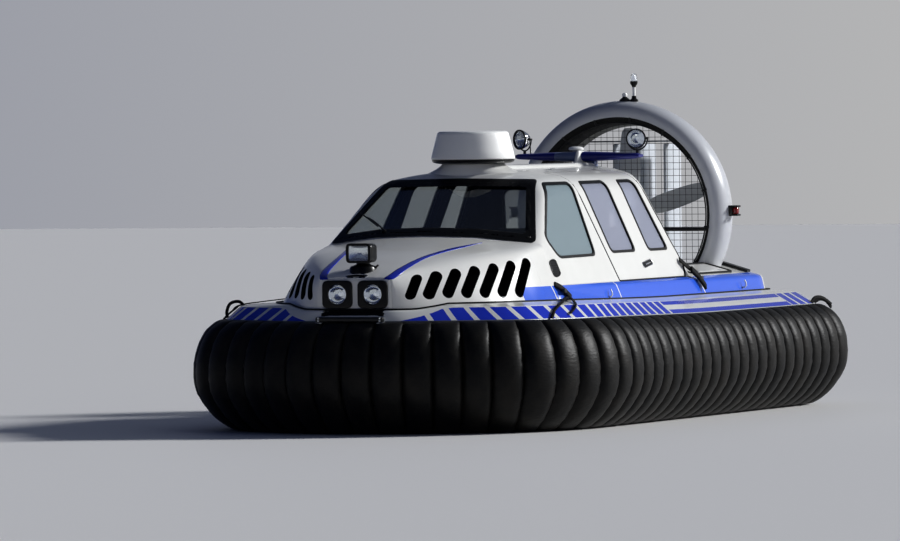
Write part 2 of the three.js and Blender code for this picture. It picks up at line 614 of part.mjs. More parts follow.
// Roof: radar, fin with its receiver dome, light bar and searchlights
const RADAR = { x: 630, radius: 326, low: 2010, high: 2257 };
const upward = point(0, 0, 1);
const pedestal = turned([[1900, 0], [1900, 290], [1985, 250], [RADAR.low - SEAT, 235], [RADAR.low - SEAT, 0]], 32,
  point(RADAR.x, 0, 0), upward);
piece('radar_pedestal', cut(pedestal, join(cabinForm(0), throughX(ridgeShape, -1560, 700)).translate([0, 0, SEAT]),
  block(0, 1400, -500, 500, 1800, 1925)), GELCOAT);
piece('radar_dome', turned([[RADAR.low, 0], [RADAR.low, 300], [RADAR.low + 28, RADAR.radius], [RADAR.low + 60, RADAR.radius],
  [RADAR.high - 22, 290], [RADAR.high, 262], [RADAR.high + 2, 0]], 40, point(RADAR.x, 0, 0), upward), GELCOAT);

const BAR = { x: -1600, half: 535, z: 2030 + SEAT, thick: 45, tip: 20, chord: 90 };
const barRing = (y, half, chord) => [point(BAR.x + chord, y, BAR.z), point(BAR.x + chord * 0.6, y, BAR.z + half),
  point(BAR.x - chord * 0.6, y, BAR.z + half), point(BAR.x - chord, y, BAR.z), point(BAR.x - chord * 0.6, y, BAR.z - half),
  point(BAR.x + chord * 0.6, y, BAR.z - half)];
const barShape = () => loft([barRing(-BAR.half, BAR.tip, BAR.chord * 0.7), barRing(0, BAR.thick, BAR.chord),
  barRing(BAR.half, BAR.tip, BAR.chord * 0.7)]);
piece('light_bar', barShape(), BLUE);

const finOutline = rounded([[-1450, 1985 + SEAT], [-1500, 2085], [-1620, 2098], [-1725, 2098], [-1725, 2078 + SEAT],
  [-1505, 2078 + SEAT], [-1505, 1985 + SEAT]], 0);
const receiver = turned([[2098, 0], [2098, 45], [2110, 62], [2124, 50], [2132, 0]], 24, point(-1610, -20, 0), upward);
piece('roof_fin', join(throughY(finOutline, -14, 14), block(-1650, -1570, -50, 14, 2090, 2100), receiver), GELCOAT);

// Searchlights on the bar's tips: name, y, turn about Z in degrees
const SEARCHLIGHTS = [
  ['port', 500, 8],
  ['starboard', -500, -38],
];
const SEARCH = { z: 2172, radius: 78, depth: 90 };
for (const [side, y, turn] of SEARCHLIGHTS) {
  const facing = point(1, 0, 0).applyAxisAngle(upward, THREE.MathUtils.degToRad(turn));
  const centre = point(BAR.x, y, SEARCH.z);
  const bowl = turned([[-70, 0], [-66, 28], [-35, 60], [0, 76], [14, SEARCH.radius], [22, SEARCH.radius - 4], [22, 68],
    [10, 64], [-30, 40], [-44, 0]], 24, centre, facing);
  const stem = rod(point(BAR.x - 12, y, BAR.z), point(BAR.x - 12, y, SEARCH.z - 66), 12, 10);
  piece(`searchlight_${side}`, join(bowl, cut(stem, barShape().translate([0, 0, SEAT]))), LENS);
}

// Remote spotlight on the hood
const SPOT = { x: 2860, z: 1345, halfX: 80, halfY: 100, halfZ: 88 };
const spotHead = throughX(rounded([[-SPOT.halfY, SPOT.z - SPOT.halfZ], [SPOT.halfY, SPOT.z - SPOT.halfZ],
  [SPOT.halfY, SPOT.z + SPOT.halfZ], [-SPOT.halfY, SPOT.z + SPOT.halfZ]], 28), SPOT.x - SPOT.halfX, SPOT.x + SPOT.halfX);
const spotFace = block(SPOT.x + SPOT.halfX - 22, SPOT.x + SPOT.halfX + 5, -80, 80, SPOT.z - 66, SPOT.z + 66);
const spotFoot = turned([[1150, 0], [1150, 62], [SPOT.z - 105, 58], [SPOT.z - 86, 48], [SPOT.z - 76, 0]], 24,
  point(SPOT.x, 0, 0), upward);
piece('hood_spotlight', cut(join(cut(spotHead, spotFace), spotFoot), noseForm(0).translate([0, 0, SEAT])), BLACK);

// Mast light on the duct, navigation lamps at its sides
const MAST = { x: -2600, y: 90, foot: DUCT.z + DUCT.lip, height: 221 };
const ductCut = () => turned([...ductOuter(SEAT), [DUCT.exitX, 400], [DUCT.lipX, 400], ductOuter(SEAT)[0]], 48, ductAxis);
const mastStem = rod(point(MAST.x, MAST.y, MAST.foot - 20), point(MAST.x, MAST.y, MAST.foot + 150), 14, 12);
const mastLamp = turned([[MAST.foot + 130, 0], [MAST.foot + 130, 36], [MAST.foot + 200, 36], [MAST.foot + MAST.height, 18],
  [MAST.foot + MAST.height, 0]], 16, point(MAST.x, MAST.y, 0), upward);
const mastPlate = block(MAST.x - 40, MAST.x + 40, MAST.y - 36, MAST.y + 36, MAST.foot - 20, MAST.foot + 12);
piece('mast_light', cut(join(mastStem, mastLamp, mastPlate), ductCut()), BLACK);
for (const [side, hand, material] of [['port', 1, RED], ['starboard', -1, GREEN]]) {
  const [inner, outer] = [900 * hand, 1000 * hand].sort((a, b) => a - b);
  piece(`nav_light_${side}`, cut(block(-2640, -2560, inner, outer, 1535, 1620), ductCut()), material);
}

// Tow bar across the bow with its brackets
const towBrackets = [-250, 250].map((y) => block(3020, 3120, y - 25, y + 25, 835, 885));
piece('tow_bar', cut(join(block(3100, 3136, -275, 275, 846, 884), ...towBrackets), hull.translate([0, 0, SEAT])), BLACK);

// Cabin: dashboard, steering wheel, seats
const dashOutline = rounded([[1120, 1100], [1180, 1300], [1430, 1350], [1430, 1100]], 20);
const dash = join(throughY(dashOutline, -800, 800), block(1200, 1400, -220, 220, FLOOR_Z + SEAT, 1120));
piece('dashboard', dash, VINYL);

const WHEEL = { x: 1010, z: 1230, radius: 170, rim: 12, rake: 28 };
const wheelAxis = point(-Math.cos(THREE.MathUtils.degToRad(WHEEL.rake)), 0, Math.sin(THREE.MathUtils.degToRad(WHEEL.rake)));
function steeringWheel() {
  const centre = point(WHEEL.x, 0, WHEEL.z);
  const torus = new THREE.TorusGeometry(WHEEL.radius, WHEEL.rim, 8, 28);
  torus.applyQuaternion(new THREE.Quaternion().setFromUnitVectors(upward, wheelAxis));
  torus.translate(centre.x, centre.y, centre.z);
  const boss = turned([[-40, 0], [-40, 22], [-14, 36], [10, 36], [10, 0]], 16, centre, wheelAxis);
  const spokes = [90, 210, 330].map((angle) => {
    const a = THREE.MathUtils.degToRad(angle);
    const across = point(0, 1, 0).multiplyScalar(Math.cos(a));
    const up = point(wheelAxis.z, 0, -wheelAxis.x).multiplyScalar(Math.sin(a));
    return rod(centre, across.add(up).multiplyScalar(WHEEL.radius).add(centre), 8, 8);
  });
  return join(solid(torus), boss, ...spokes);
}
piece('steering_wheel', steeringWheel(), BLACK);
const columnFoot = point(WHEEL.x, 0, WHEEL.z).addScaledVector(wheelAxis, -40 - SEAT);
const columnEnd = columnFoot.clone().addScaledVector(wheelAxis, -190);
piece('steering_column', cut(rod(columnFoot, columnEnd, 26, 14), dash.translate([-SEAT, 0, 0]), dash), BLACK);

// Seats: x of the cushion's front edge, centre y, width
const SEATS = [
  ['seat_driver', 700, 0, 500],
  ['seat_middle', -10, 0, 1500],
  ['seat_rear', -640, 0, 1160],
];
for (const [name, frontX, y, width] of SEATS) {
  const outline = rounded([[frontX, FLOOR_Z + SEAT], [frontX, 985], [frontX - 440, 965], [frontX - 560, 1480], [frontX - 650, 1480],
    [frontX - 560, FLOOR_Z + SEAT]], 25);
  piece(name, throughY(outline, y - width / 2, y + width / 2), VINYL);
}

export default craft;
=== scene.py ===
"""A small cabin hovercraft standing on its skids in its inflated skirt."""
import math

import bmesh
import bpy
import numpy as np
from mathutils import Matrix, Vector
from mathutils.bvhtree import BVHTree


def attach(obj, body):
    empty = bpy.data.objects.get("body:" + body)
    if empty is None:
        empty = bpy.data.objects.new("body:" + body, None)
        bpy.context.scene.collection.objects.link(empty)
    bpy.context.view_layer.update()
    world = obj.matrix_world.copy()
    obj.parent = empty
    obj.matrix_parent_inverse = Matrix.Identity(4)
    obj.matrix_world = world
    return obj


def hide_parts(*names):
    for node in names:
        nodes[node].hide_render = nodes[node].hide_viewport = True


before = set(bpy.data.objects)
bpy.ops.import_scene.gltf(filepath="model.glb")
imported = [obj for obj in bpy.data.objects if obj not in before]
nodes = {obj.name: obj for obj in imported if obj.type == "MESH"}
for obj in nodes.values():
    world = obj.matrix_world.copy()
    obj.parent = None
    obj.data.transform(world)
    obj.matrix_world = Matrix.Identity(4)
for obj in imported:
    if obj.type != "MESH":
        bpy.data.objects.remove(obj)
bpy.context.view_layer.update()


# The camera
# It stands 66 m off the port bow, a little above the roof, behind a very long lens. The
# picture leans by about one degree.
CAMERA_PLACE = Vector((61.66, 24.91, 2.537))
CAMERA_YAW = math.radians(22.0)
PIXELS_PER_RADIAN = 8500.0
ASIDE = (450 - 504.7) / PIXELS_PER_RADIAN
DOWN = (270.5 - 95) / PIXELS_PER_RADIAN
LEAN = 0.012

ahead = Vector((-math.cos(CAMERA_YAW), -math.sin(CAMERA_YAW), 0))
aside = Vector((-math.sin(CAMERA_YAW), math.cos(CAMERA_YAW), 0))
aim = (ahead + aside * ASIDE - Vector((0, 0, DOWN))).normalized()
level_right = aim.cross(Vector((0, 0, 1))).normalized()
level_up = level_right.cross(aim)
leant_right = level_right * math.cos(LEAN) - level_up * math.sin(LEAN)
leant_up = level_right * math.sin(LEAN) + level_up * math.cos(LEAN)
lens = bpy.data.cameras.new("camera")
lens.lens = 340.0
lens.sensor_width = 36.0
lens.clip_end = 400.0
camera = bpy.data.objects.new("camera", lens)
bpy.context.scene.collection.objects.link(camera)
turned_to = Matrix((leant_right, leant_up, -aim)).transposed()
camera.matrix_world = Matrix.Translation(CAMERA_PLACE) @ turned_to.to_4x4()
bpy.context.scene.camera = camera


# The studio
# A pale floor under a soft sky that is brighter behind the port side and bluish ahead of the
# bow, and a soft sun from behind.
FLOOR_COLOUR = "#e6e5e3"
FLOOR_REACH = 90
SKY_COLOUR = "#c3cfe6"
HORIZON = 0.57
SHADE_COLOUR = "#6a85cc"
SKY_LIGHT = 0.27
SKY_SIDES = (0.22, 1.2)
SUN_FROM = Vector((-0.52, 0.72, 0.46))
FILL_PLACE = (14, -9, 7)


def linear(code):
    """An sRGB hex colour as linear red, green, blue and alpha."""
    parts = [int(code[i:i + 2], 16) / 255 for i in (1, 3, 5)]
    return [c / 12.92 if c <= 0.04045 else ((c + 0.055) / 1.055) ** 2.4 for c in parts] + [1.0]


def add(tree, kind, settings=None, links=None):
    """One node: settings are properties of it or values of its inputs, links are wired inputs."""
    node = tree.nodes.new(kind)
    for key, value in (settings or {}).items():
        if isinstance(key, int) or key in node.inputs:
            node.inputs[key].default_value = value
        else:
            setattr(node, key, value)
    for key, socket in (links or {}).items():
        tree.links.new(socket, node.inputs[key])
    return node


def mix(tree, share, one, other, **settings):
    """A blend of two colours, each a hex code or a socket."""
    node = add(tree, "ShaderNodeMix", {"data_type": "RGBA", **settings})
    for slot, value in ((0, share), (6, one), (7, other)):
        if isinstance(value, str):
            node.inputs[slot].default_value = linear(value)
        elif isinstance(value, float):
            node.inputs[slot].default_value = value
        else:
            tree.links.new(value, node.inputs[slot])
    return node.outputs[2]


def new_material(name, colour, roughness, **inputs):
    """A material and its tree and shader, with values that are the same all over set on the shader."""
    material = bpy.data.materials.new(name)
    material.use_nodes = True
    shader = material.node_tree.nodes["Principled BSDF"]
    shader.inputs["Base Color"].default_value = linear(colour)
    shader.inputs["Roughness"].default_value = roughness
    for key, value in inputs.items():
        shader.inputs[key.replace("_", " ")].default_value = value
    return material, material.node_tree, shader


floor_mesh = bpy.data.meshes.new("floor")
floor_corners = [(a * FLOOR_REACH, b * FLOOR_REACH, 0) for a, b in ((-1, -1), (1, -1), (1, 1), (-1, 1))]
floor_mesh.from_pydata(floor_corners, [], [(0, 1, 2, 3)])
floor_mesh.materials.append(new_material("studio_floor", FLOOR_COLOUR, 0.6)[0])
floor = bpy.data.objects.new("floor", floor_mesh)
bpy.context.scene.collection.objects.link(floor)

world = bpy.data.worlds.new("studio_sky")
world.use_nodes = True
sky_tree = world.node_tree
sky = sky_tree.nodes["Background"]
sky_spot = add(sky_tree, "ShaderNodeTexCoord")
sky_height = add(sky_tree, "ShaderNodeSeparateXYZ", links={0: sky_spot.outputs["Generated"]})
sky_shade = add(sky_tree, "ShaderNodeValToRGB", links={0: sky_height.outputs["Z"]})
for element, place, colour, light in zip(sky_shade.color_ramp.elements, (0.06, 0.35),
                                         ("#ffffff", SKY_COLOUR), (HORIZON, SKY_LIGHT)):
    element.position = place
    element.color = [c * light for c in linear(colour)[:3]] + [1]
bright_side = tuple(Vector((SUN_FROM.x, SUN_FROM.y, 0)).normalized())
sky_turn = add(sky_tree, "ShaderNodeVectorMath", {"operation": "DOT_PRODUCT", 1: bright_side},
               {0: sky_spot.outputs["Generated"]}).outputs["Value"]
side_levels = {"From Min": -1.0, "From Max": 1.0, "To Min": SKY_SIDES[0], "To Max": SKY_SIDES[1]}
sky_level = add(sky_tree, "ShaderNodeMapRange", side_levels, {"Value": sky_turn})
sky_side = add(sky_tree, "ShaderNodeMapRange", {"From Min": -0.2, "From Max": 0.3}, {"Value": sky_turn})
sky_tint = mix(sky_tree, sky_side.outputs[0], SHADE_COLOUR, "#ffffff")
sky_blend = mix(sky_tree, 1.0, sky_shade.outputs[0], sky_tint, blend_type="MULTIPLY")
sky_tree.links.new(sky_blend, sky.inputs["Color"])
sky_tree.links.new(sky_level.outputs[0], sky.inputs["Strength"])
bpy.context.scene.world = world

sun = bpy.data.lights.new("soft_sun", "SUN")
sun.energy = 3.6
sun.angle = math.radians(9)
sun_object = bpy.data.objects.new("soft_sun", sun)
sun_object.rotation_euler = SUN_FROM.to_track_quat("Z", "Y").to_euler()
bpy.context.scene.collection.objects.link(sun_object)
fill = bpy.data.lights.new("front_fill", "AREA")
fill.size = 9
fill.energy = 30
fill.color = (0.62, 0.74, 1.0)
fill_object = bpy.data.objects.new("front_fill", fill)
fill_object.location = FILL_PLACE
fill_object.rotation_euler = (Vector(FILL_PLACE) - Vector((0, 0, 1))).to_track_quat("Z", "Y").to_euler()
bpy.context.scene.collection.objects.link(fill_object)
bpy.context.scene.view_settings.view_transform = "Standard"
bpy.context.scene.view_settings.gamma = 0.86
bpy.context.scene.view_settings.exposure = 0.1


# The hull
# One moulding of glass-fibre with a white gelcoat. Its sloping edge carries a striped vinyl
# band; the deck inside it is hidden under the nose, the cabin and the engine deck.
HULL_X = 3.1
HULL_Y = 1.5
STERN_RADIUS = 0.15
RUB_STERN = (-2.965, 1.128, 0.06)
PLAN = (
    # edge x, edge y, rub x, rub y
    (3.098, 0.100, 3.016, 0.090),
    (3.060, 0.345, 3.014, 0.300),
    (2.900, 0.745, 2.765, 0.618),
    (2.630, 1.175, 2.512, 0.838),
    (2.350, 1.345, 2.205, 0.980),
    (2.020, 1.465, 1.805, 1.050),
    (1.680, 1.500, 1.400, 1.072),
)


def spline(points, per_span):
    """Points on a Catmull-Rom curve through the given ones."""
    points = [np.array(p, float) for p in points]
    last = len(points) - 1
    found = []
    for i in range(last):
        a, b, c, d = (points[min(max(j, 0), last)] for j in range(i - 1, i + 3))
        for t in np.arange(per_span) / per_span:
            cubic = (-a + 3 * b - 3 * c + d) * t + (2 * a - 5 * b + 4 * c - d)
            found.append(b + 0.5 * t * ((c - a) + t * cubic))
    return np.array(found + [points[last]])


def side_plan(column, stern_x, side_y, radius, per_span=10):
    """The port half of a plan outline, from the stem to the stern."""
    bow = spline([row[column:column + 2] for row in PLAN], per_span)
    side = np.linspace(bow[-1], (stern_x + radius, side_y), 12)[1:]
    turn = np.linspace(0, math.pi / 2, 10)[1:]
    corner_x = stern_x + radius - radius * np.sin(turn)
    corner_y = side_y - radius + radius * np.cos(turn)
    return np.concatenate([bow, side, np.stack([corner_x, corner_y], 1)])


SIDES = (("port", 1), ("starboard", -1))


def both_sides(half):
    """A closed outline from its port half, with the y of each starboard point turned over."""
    return np.concatenate([half, half[::-1] * (1, -1)])


def finish_mesh(name, verts, faces, material, sharp=math.radians(35), uvs=None):
    """A shaded mesh object from points and faces, with an optional UV map."""
    mesh = bpy.data.meshes.new(name)
    mesh.from_pydata([tuple(v) for v in verts], [], faces)
    if uvs is not None:
        layer = mesh.uv_layers.new(name="along")
        loops = np.empty(len(mesh.loops), int)
        mesh.loops.foreach_get("vertex_index", loops)
        layer.data.foreach_set("uv", np.asarray(uvs, np.float32)[loops].ravel())
    if material:
        mesh.materials.append(material)
    mesh.shade_smooth()
    mesh.set_sharp_from_angle(angle=sharp)
    made = bpy.data.objects.new(name, mesh)
    bpy.context.scene.collection.objects.link(made)
    return made


def turn_outwards(made):
    """Merges the doubles of a closed mesh and turns its faces outwards."""
    work = bmesh.new()
    work.from_mesh(made.data)
    bmesh.ops.remove_doubles(work, verts=work.verts, dist=1e-5)
    bmesh.ops.recalc_face_normals(work, faces=work.faces)
    work.to_mesh(made.data)
    work.free()
    return made


def ring_faces(count, rings):
    """The faces of a closed solid through rings of equally many points, its ends capped."""
    faces = []
    for r in range(rings - 1):
        a, b = r * count, (r + 1) * count
        faces += [(a + i, a + (i + 1) % count, b + (i + 1) % count, b + i) for i in range(count)]
    return faces + [tuple(range(count))[::-1], tuple(range((rings - 1) * count, rings * count))]


def loft(name, rings, material=None, sharp=math.radians(35)):
    """A closed solid through rings of equally many points."""
    rings = np.asarray(rings, float)
    faces = ring_faces(rings.shape[1], len(rings))
    return turn_outwards(finish_mesh(name, rings.reshape(-1, 3), faces, material, sharp))


def fit(made, body="craft", node=None):
    """Puts a piece on its body and, if it stands for one, in a solid's place."""
    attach(made, body)
    if node:
        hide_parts(node)
    return made


def speckle(tree, scale, detail=2.0):
    """A cloudy pattern that is fixed to the object's own axes."""
    spot = add(tree, "ShaderNodeTexCoord")
    settings = {"Scale": scale, "Detail": detail}
    return add(tree, "ShaderNodeTexNoise", settings, {"Vector": spot.outputs["Object"]}).outputs[0]


def cells_of(tree, scale):
    """A pattern of small cells that is fixed to the object's own axes."""
    spot = add(tree, "ShaderNodeTexCoord")
    return add(tree, "ShaderNodeTexVoronoi", {"Scale": scale}, {"Vector": spot.outputs["Object"]}).outputs[0]


def emboss(tree, shader, height, strength, distance):
    """Lets a pattern raise the surface a little."""
    bump = add(tree, "ShaderNodeBump", {"Strength": strength, "Distance": distance}, {"Height": height})
    tree.links.new(bump.outputs[0], shader.inputs["Normal"])


edge_plan = both_sides(side_plan(0, -HULL_X, HULL_Y, STERN_RADIUS))
rub_plan = both_sides(side_plan(2, *RUB_STERN))
HULL_RINGS = (
    # height, inset of the edge; the deck's own rings stand on these
    (0.150, 0.480),
    (0.560, 0.190),
    (0.790, 0.002),
)
EDGE_Z = 0.820
EDGE_SHEER = 0.030
RIM_Z = 0.934
RIM_SHEER = 0.038
RIM_DIP = 0.038
BAND_DEPTH = 0.112
BAND_DEPTH_STERN = 0.147
BAND_RING = 3


def sheer(x):
    """How far a point has risen from the level stern, 0, to the bow, 1."""
    t = np.clip((x + 0.8) / 3.3, 0, 1)
    return t * t * (3 - 2 * t)


def deck_ring(share, part):
    """A line of the side deck: its share of the way in from the edge, and of the rise to the rim."""
    plan = edge_plan * (1 - share) + rub_plan * share
    rise = sheer(plan[:, 0])
    low = EDGE_Z + EDGE_SHEER * rise
    high = RIM_Z + RIM_SHEER * rise - RIM_DIP * np.clip((edge_plan[:, 0] - 2.88) / 0.12, 0, 1)
    return np.column_stack([plan, low + (high - low) * part])


rings = []
for height, inset in HULL_RINGS:
    plan = edge_plan * (1 - inset / HULL_X, 1 - inset / HULL_Y)
    rings.append(np.column_stack([plan, height + EDGE_SHEER * sheer(plan[:, 0]) * (height > 0.7)]))
across = np.linalg.norm(edge_plan - rub_plan, axis=1)
band_depth = BAND_DEPTH_STERN + (BAND_DEPTH - BAND_DEPTH_STERN) * sheer(edge_plan[:, 0])
band_share = np.minimum(band_depth / across, 0.6)[:, None]
band_part = 0.82 - 0.02 * sheer(edge_plan[:, 0])
rim_line = deck_ring(1.0, 1.0)
rings += [deck_ring(0.0, 0.0), deck_ring(band_share, band_part),
          deck_ring(0.3 + 0.7 * band_share, band_part + (1 - band_part) * 0.45), deck_ring(0.992, 0.985),
          rim_line, rim_line * (0.985, 0.965, 1.0)]

BAR_WIDTH = 0.26
BAR_LEAN = 0.028
FIRST_BAR = 0.520
BAR_PITCH = 0.1736
TIGHTER_FROM = 1.735
TIGHTER_PITCH = 0.158
LINES_FROM = 3.650
LINES_TO = 6.330
STERN_PITCH = 0.18
BAND_END = 7.020


def with_maths(tree):
    """Short forms of the Math node in one tree."""
    def maths(kind, a, b=None):
        node = add(tree, "ShaderNodeMath", {"operation": kind})
        for slot, value in enumerate((a, b)):
            if isinstance(value, (int, float)):
                node.inputs[slot].default_value = value
            elif value is not None:
                tree.links.new(value, node.inputs[slot])
        return node.outputs[0]
    return maths


def striped_gelcoat():
    """White gelcoat with the vinyl band: blue parted by slanted white bars 0.17 m apart, then two long
    blue lines. The UV map gives metres from the stem and the ring number across the band."""
    material, tree, shader = new_material("gelcoat_with_striped_vinyl_band", "#e9e9e5", 0.2,
                                          Coat_Weight=0.3)
    maths = with_maths(tree)
    place = add(tree, "ShaderNodeUVMap", {"uv_map": "along"})
    uv = add(tree, "ShaderNodeSeparateXYZ", links={0: place.outputs[0]})

    def within(value, low, high):
        return maths("MULTIPLY", maths("GREATER_THAN", value, low), maths("LESS_THAN", value, high))

    def bars_at(value):
        return maths("LESS_THAN", maths("FRACT", maths("ADD", value, BAR_WIDTH / 2)), BAR_WIDTH)

    share = maths("SUBTRACT", uv.outputs[1], float(BAND_RING))
    slanted = maths("ADD", uv.outputs[0], maths("MULTIPLY", share, BAR_LEAN))
    taper = maths("MULTIPLY", maths("SUBTRACT", uv.outputs[0], 0.28), 2.8)
    band = maths("MULTIPLY", within(share, 0.02, 0.975), maths("LESS_THAN", share, taper))
    band = maths("MULTIPLY", band, maths("LESS_THAN", slanted, BAND_END))
    wide_run = maths("SUBTRACT", maths("MINIMUM", slanted, TIGHTER_FROM), FIRST_BAR)
    tight_run = maths("MAXIMUM", maths("SUBTRACT", slanted, TIGHTER_FROM), 0.0)
    cells = maths("ADD", maths("DIVIDE", wide_run, BAR_PITCH), maths("DIVIDE", tight_run, TIGHTER_PITCH))
    fore_bars = maths("MULTIPLY", bars_at(cells), maths("GREATER_THAN", cells, -0.5))
    stern_bars = bars_at(maths("DIVIDE", maths("SUBTRACT", slanted, LINES_TO), STERN_PITCH))
    lines = maths("MAXIMUM", within(share, 0.02, 0.32), within(share, 0.70, 0.975))
    fore = maths("MULTIPLY", maths("LESS_THAN", slanted, LINES_FROM), maths("SUBTRACT", 1.0, fore_bars))
    middle = maths("MULTIPLY", within(slanted, LINES_FROM, LINES_TO), lines)
    aft = maths("MULTIPLY", maths("GREATER_THAN", slanted, LINES_TO), maths("SUBTRACT", 1.0, stern_bars))
    blue = maths("MULTIPLY", band, maths("ADD", maths("ADD", fore, middle), aft))
    white = mix(tree, speckle(tree, 3.0, 4.0), "#e9e9e5", "#d9dad6")
    tree.links.new(mix(tree, blue, white, "#1f39c2"), shader.inputs["Base Color"])
    return material


count = len(edge_plan)
steps = np.linalg.norm(np.diff(edge_plan, axis=0), axis=1)
along = np.concatenate([[0], np.cumsum(steps)])
along = np.minimum(along, along[-1] - along)
well = np.clip(rings[-1] * 0.8, (-1.5, -0.9, 0), (1.56, 0.9, 2))
well[:, 2] = 0.90
well_floor = well * (1, 1, 0) + (0, 0, 0.62)
layers = rings + [well, well_floor]
uvs = np.concatenate([np.column_stack([along, np.full(count, float(k))]) for k in range(len(layers))])
hull = finish_mesh("hull_moulding", np.concatenate(layers), ring_faces(count, len(layers)),
                   striped_gelcoat(), math.radians(28), uvs)


# The skirt
# Coated nylon cloth, black with brownish patches, partly dust and partly painted sunlight, sewn
# from 82 segments that the air blows round between their seams. It is laced to the hull's
# edge in four lengths.
SKIRT_BULGE = 0.26
SEGMENTS = 82
SEGMENT_COLUMNS = 14
FOLD = 0.055
CLOTH_WIDTH = 1.3
TANGENT_REACH = 0.16
SKIRT_SECTION = (
    # part of the bulge, height
    (0.02, 0.822), (0.30, 0.806), (0.68, 0.727), (0.93, 0.590), (1.00, 0.440),
    (0.93, 0.310), (0.70, 0.200), (0.36, 0.095), (-0.10, 0.016), (-0.50, 0.004),
)
SKIRT_LENGTHS = (("bow", -12, 12), ("port", 12, 34), ("stern", 34, 48), ("starboard", 48, 70))

stem_to_stern = side_plan(0, -HULL_X, HULL_Y, STERN_RADIUS, 16)
stem_to_stern = np.concatenate([[(HULL_X, 0)], stem_to_stern, [(-HULL_X, 0)]])
loop = np.concatenate([stem_to_stern, stem_to_stern[-2:0:-1] * (1, -1)])
loop = np.concatenate([loop, loop[:1]])
loop_along = np.concatenate([[0], np.cumsum(np.linalg.norm(np.diff(loop, axis=0), axis=1))])
SEGMENT_PITCH = loop_along[-1] / SEGMENTS


def on_edge(distance):
    """The place and the outward direction at a distance round the hull's edge."""
    def at(spot):
        wrapped = np.mod(spot, loop_along[-1])
        return np.stack([np.interp(wrapped, loop_along, loop[:, k]) for k in (0, 1)], 1)

    tangent = at(distance + TANGENT_REACH) - at(distance - TANGENT_REACH)
    tangent /= np.linalg.norm(tangent, axis=1)[:, None]
    return at(distance), np.stack([tangent[:, 1], -tangent[:, 0]], 1)


def skirt_length(name, first, last):
    """One laced length of the skirt as a thin cloth, its segments blown out between their seams."""
    section = spline(SKIRT_SECTION, 4)
    columns = np.arange(first * SEGMENT_COLUMNS, last * SEGMENT_COLUMNS + 1)
    share = (columns % SEGMENT_COLUMNS) / SEGMENT_COLUMNS
    place, outward = on_edge(columns / SEGMENT_COLUMNS * SEGMENT_PITCH)
    arch = 1 - (1 - np.abs(2 * share - 1) ** 2.6) ** 0.62
    row_share = np.linspace(0, 1, len(section))
    rounding = np.clip(row_share / 0.12, 0, 1) * np.clip((1 - row_share) / 0.2, 0, 1)
    verts, uvs = [], []
    for r, (part, height) in enumerate(section):
        wave = 0.004 * np.sin(columns * 0.9 + r * 1.9) + 0.003 * np.sin(columns * 0.37 - r * 2.6 + 1)
        out = part * SKIRT_BULGE - arch * FOLD * rounding[r] + wave * rounding[r] * (0.25 + arch)
        lift = (EDGE_SHEER * sheer(place[:, 0]) - 0.006) * np.clip((height - 0.6) / 0.2, 0, 1)
        verts.append(np.column_stack([place + outward * out[:, None], height + lift]))
        down = np.full(len(columns), row_share[r] * CLOTH_WIDTH)
        uvs.append(np.column_stack([columns / SEGMENT_COLUMNS, down]))
    count = len(columns)
    faces = [(r * count + i, (r + 1) * count + i, (r + 1) * count + i + 1, r * count + i + 1)
             for r in range(len(section) - 1) for i in range(count - 1)]
    verts, uvs = np.concatenate(verts), np.concatenate(uvs)
    return finish_mesh(name, verts, faces, skirt_cloth, math.radians(50), uvs)


def coated_nylon():
    """Rubber-coated nylon: dull black, satin; random brownish patches, partly dust and partly painted
    sunlight; small creases at seams.
    """
    material, tree, shader = new_material("rubber_coated_nylon", "#0e0e0e", 0.48, Specular_IOR_Level=0.22)
    place = add(tree, "ShaderNodeUVMap", {"uv_map": "along"})
    stretch = add(tree, "ShaderNodeMapping", {"Scale": (6.0, 60.0, 1.0)}, {"Vector": place.outputs[0]})
    crease = add(tree, "ShaderNodeTexNoise", {"Scale": 1.0, "Detail": 3.0}, {"Vector": stretch.outputs[0]})
    # The brown end of this ramp is the warm tone of the sunlit cloth, painted in at random.
    tone = add(tree, "ShaderNodeValToRGB", links={0: speckle(tree, 5.0, 6.0)})
    for element, place, colour in zip(tone.color_ramp.elements, (0.4, 0.75), ("#080808", "#1f1c18")):
        element.position = place
        element.color = linear(colour)
    emboss(tree, shader, crease.outputs[0], 0.35, 0.006)
    tree.links.new(tone.outputs[0], shader.inputs["Base Color"])
    return material


def thicken(made, thickness, offset=-1):
    """Gives a sheet its thickness, by default under its face."""
    step = made.modifiers.new("thickness", "SOLIDIFY")
    step.thickness = thickness
    step.offset = offset
    return made


skirt_cloth = coated_nylon()
for side, first, last in SKIRT_LENGTHS:
    cloth = thicken(skirt_length("skirt_cloth_" + side, first, last), 0.004)
    fit(cloth, node="skirt_" + side)


# The body: nose and cabin
# One glass-fibre skin with a white gelcoat, 30 to 40 mm thick, from the headlamps to the rear
# window. Here it is formed whole and then cut into nose, cabin and the two doors.
NOSE = (
    # x, base y, low y, high y, high z, shoulder y, shoulder z, crease y, crease z, crown z
    (3.000, .287, .285, .281, 1.120, .276, 1.152, .262, 1.164, 1.170),
    (2.930, .400, .378, .352, 1.135, .325, 1.180, .290, 1.196, 1.204),
    (2.800, .550, .505, .445, 1.170, .385, 1.222, .308, 1.240, 1.249),
    (2.500, .820, .742, .640, 1.210, .530, 1.280, .345, 1.311, 1.323),
    (2.200, .960, .880, .770, 1.240, .665, 1.322, .405, 1.358, 1.376),
    (1.900, 1.015, .955, .868, 1.262, .770, 1.348, .480, 1.394, 1.420),
    (1.700, 1.035, .995, .905, 1.280, .835, 1.362, .545, 1.416, 1.452),
    (1.450, 1.046, 1.020, .923, 1.298, .872, 1.392, .620, 1.440, 1.490),
)
RUB_Z = 0.9203
LOW_Z = 1.065
SEAM_X = 1.7
INNER_FOOT_Z = 0.55


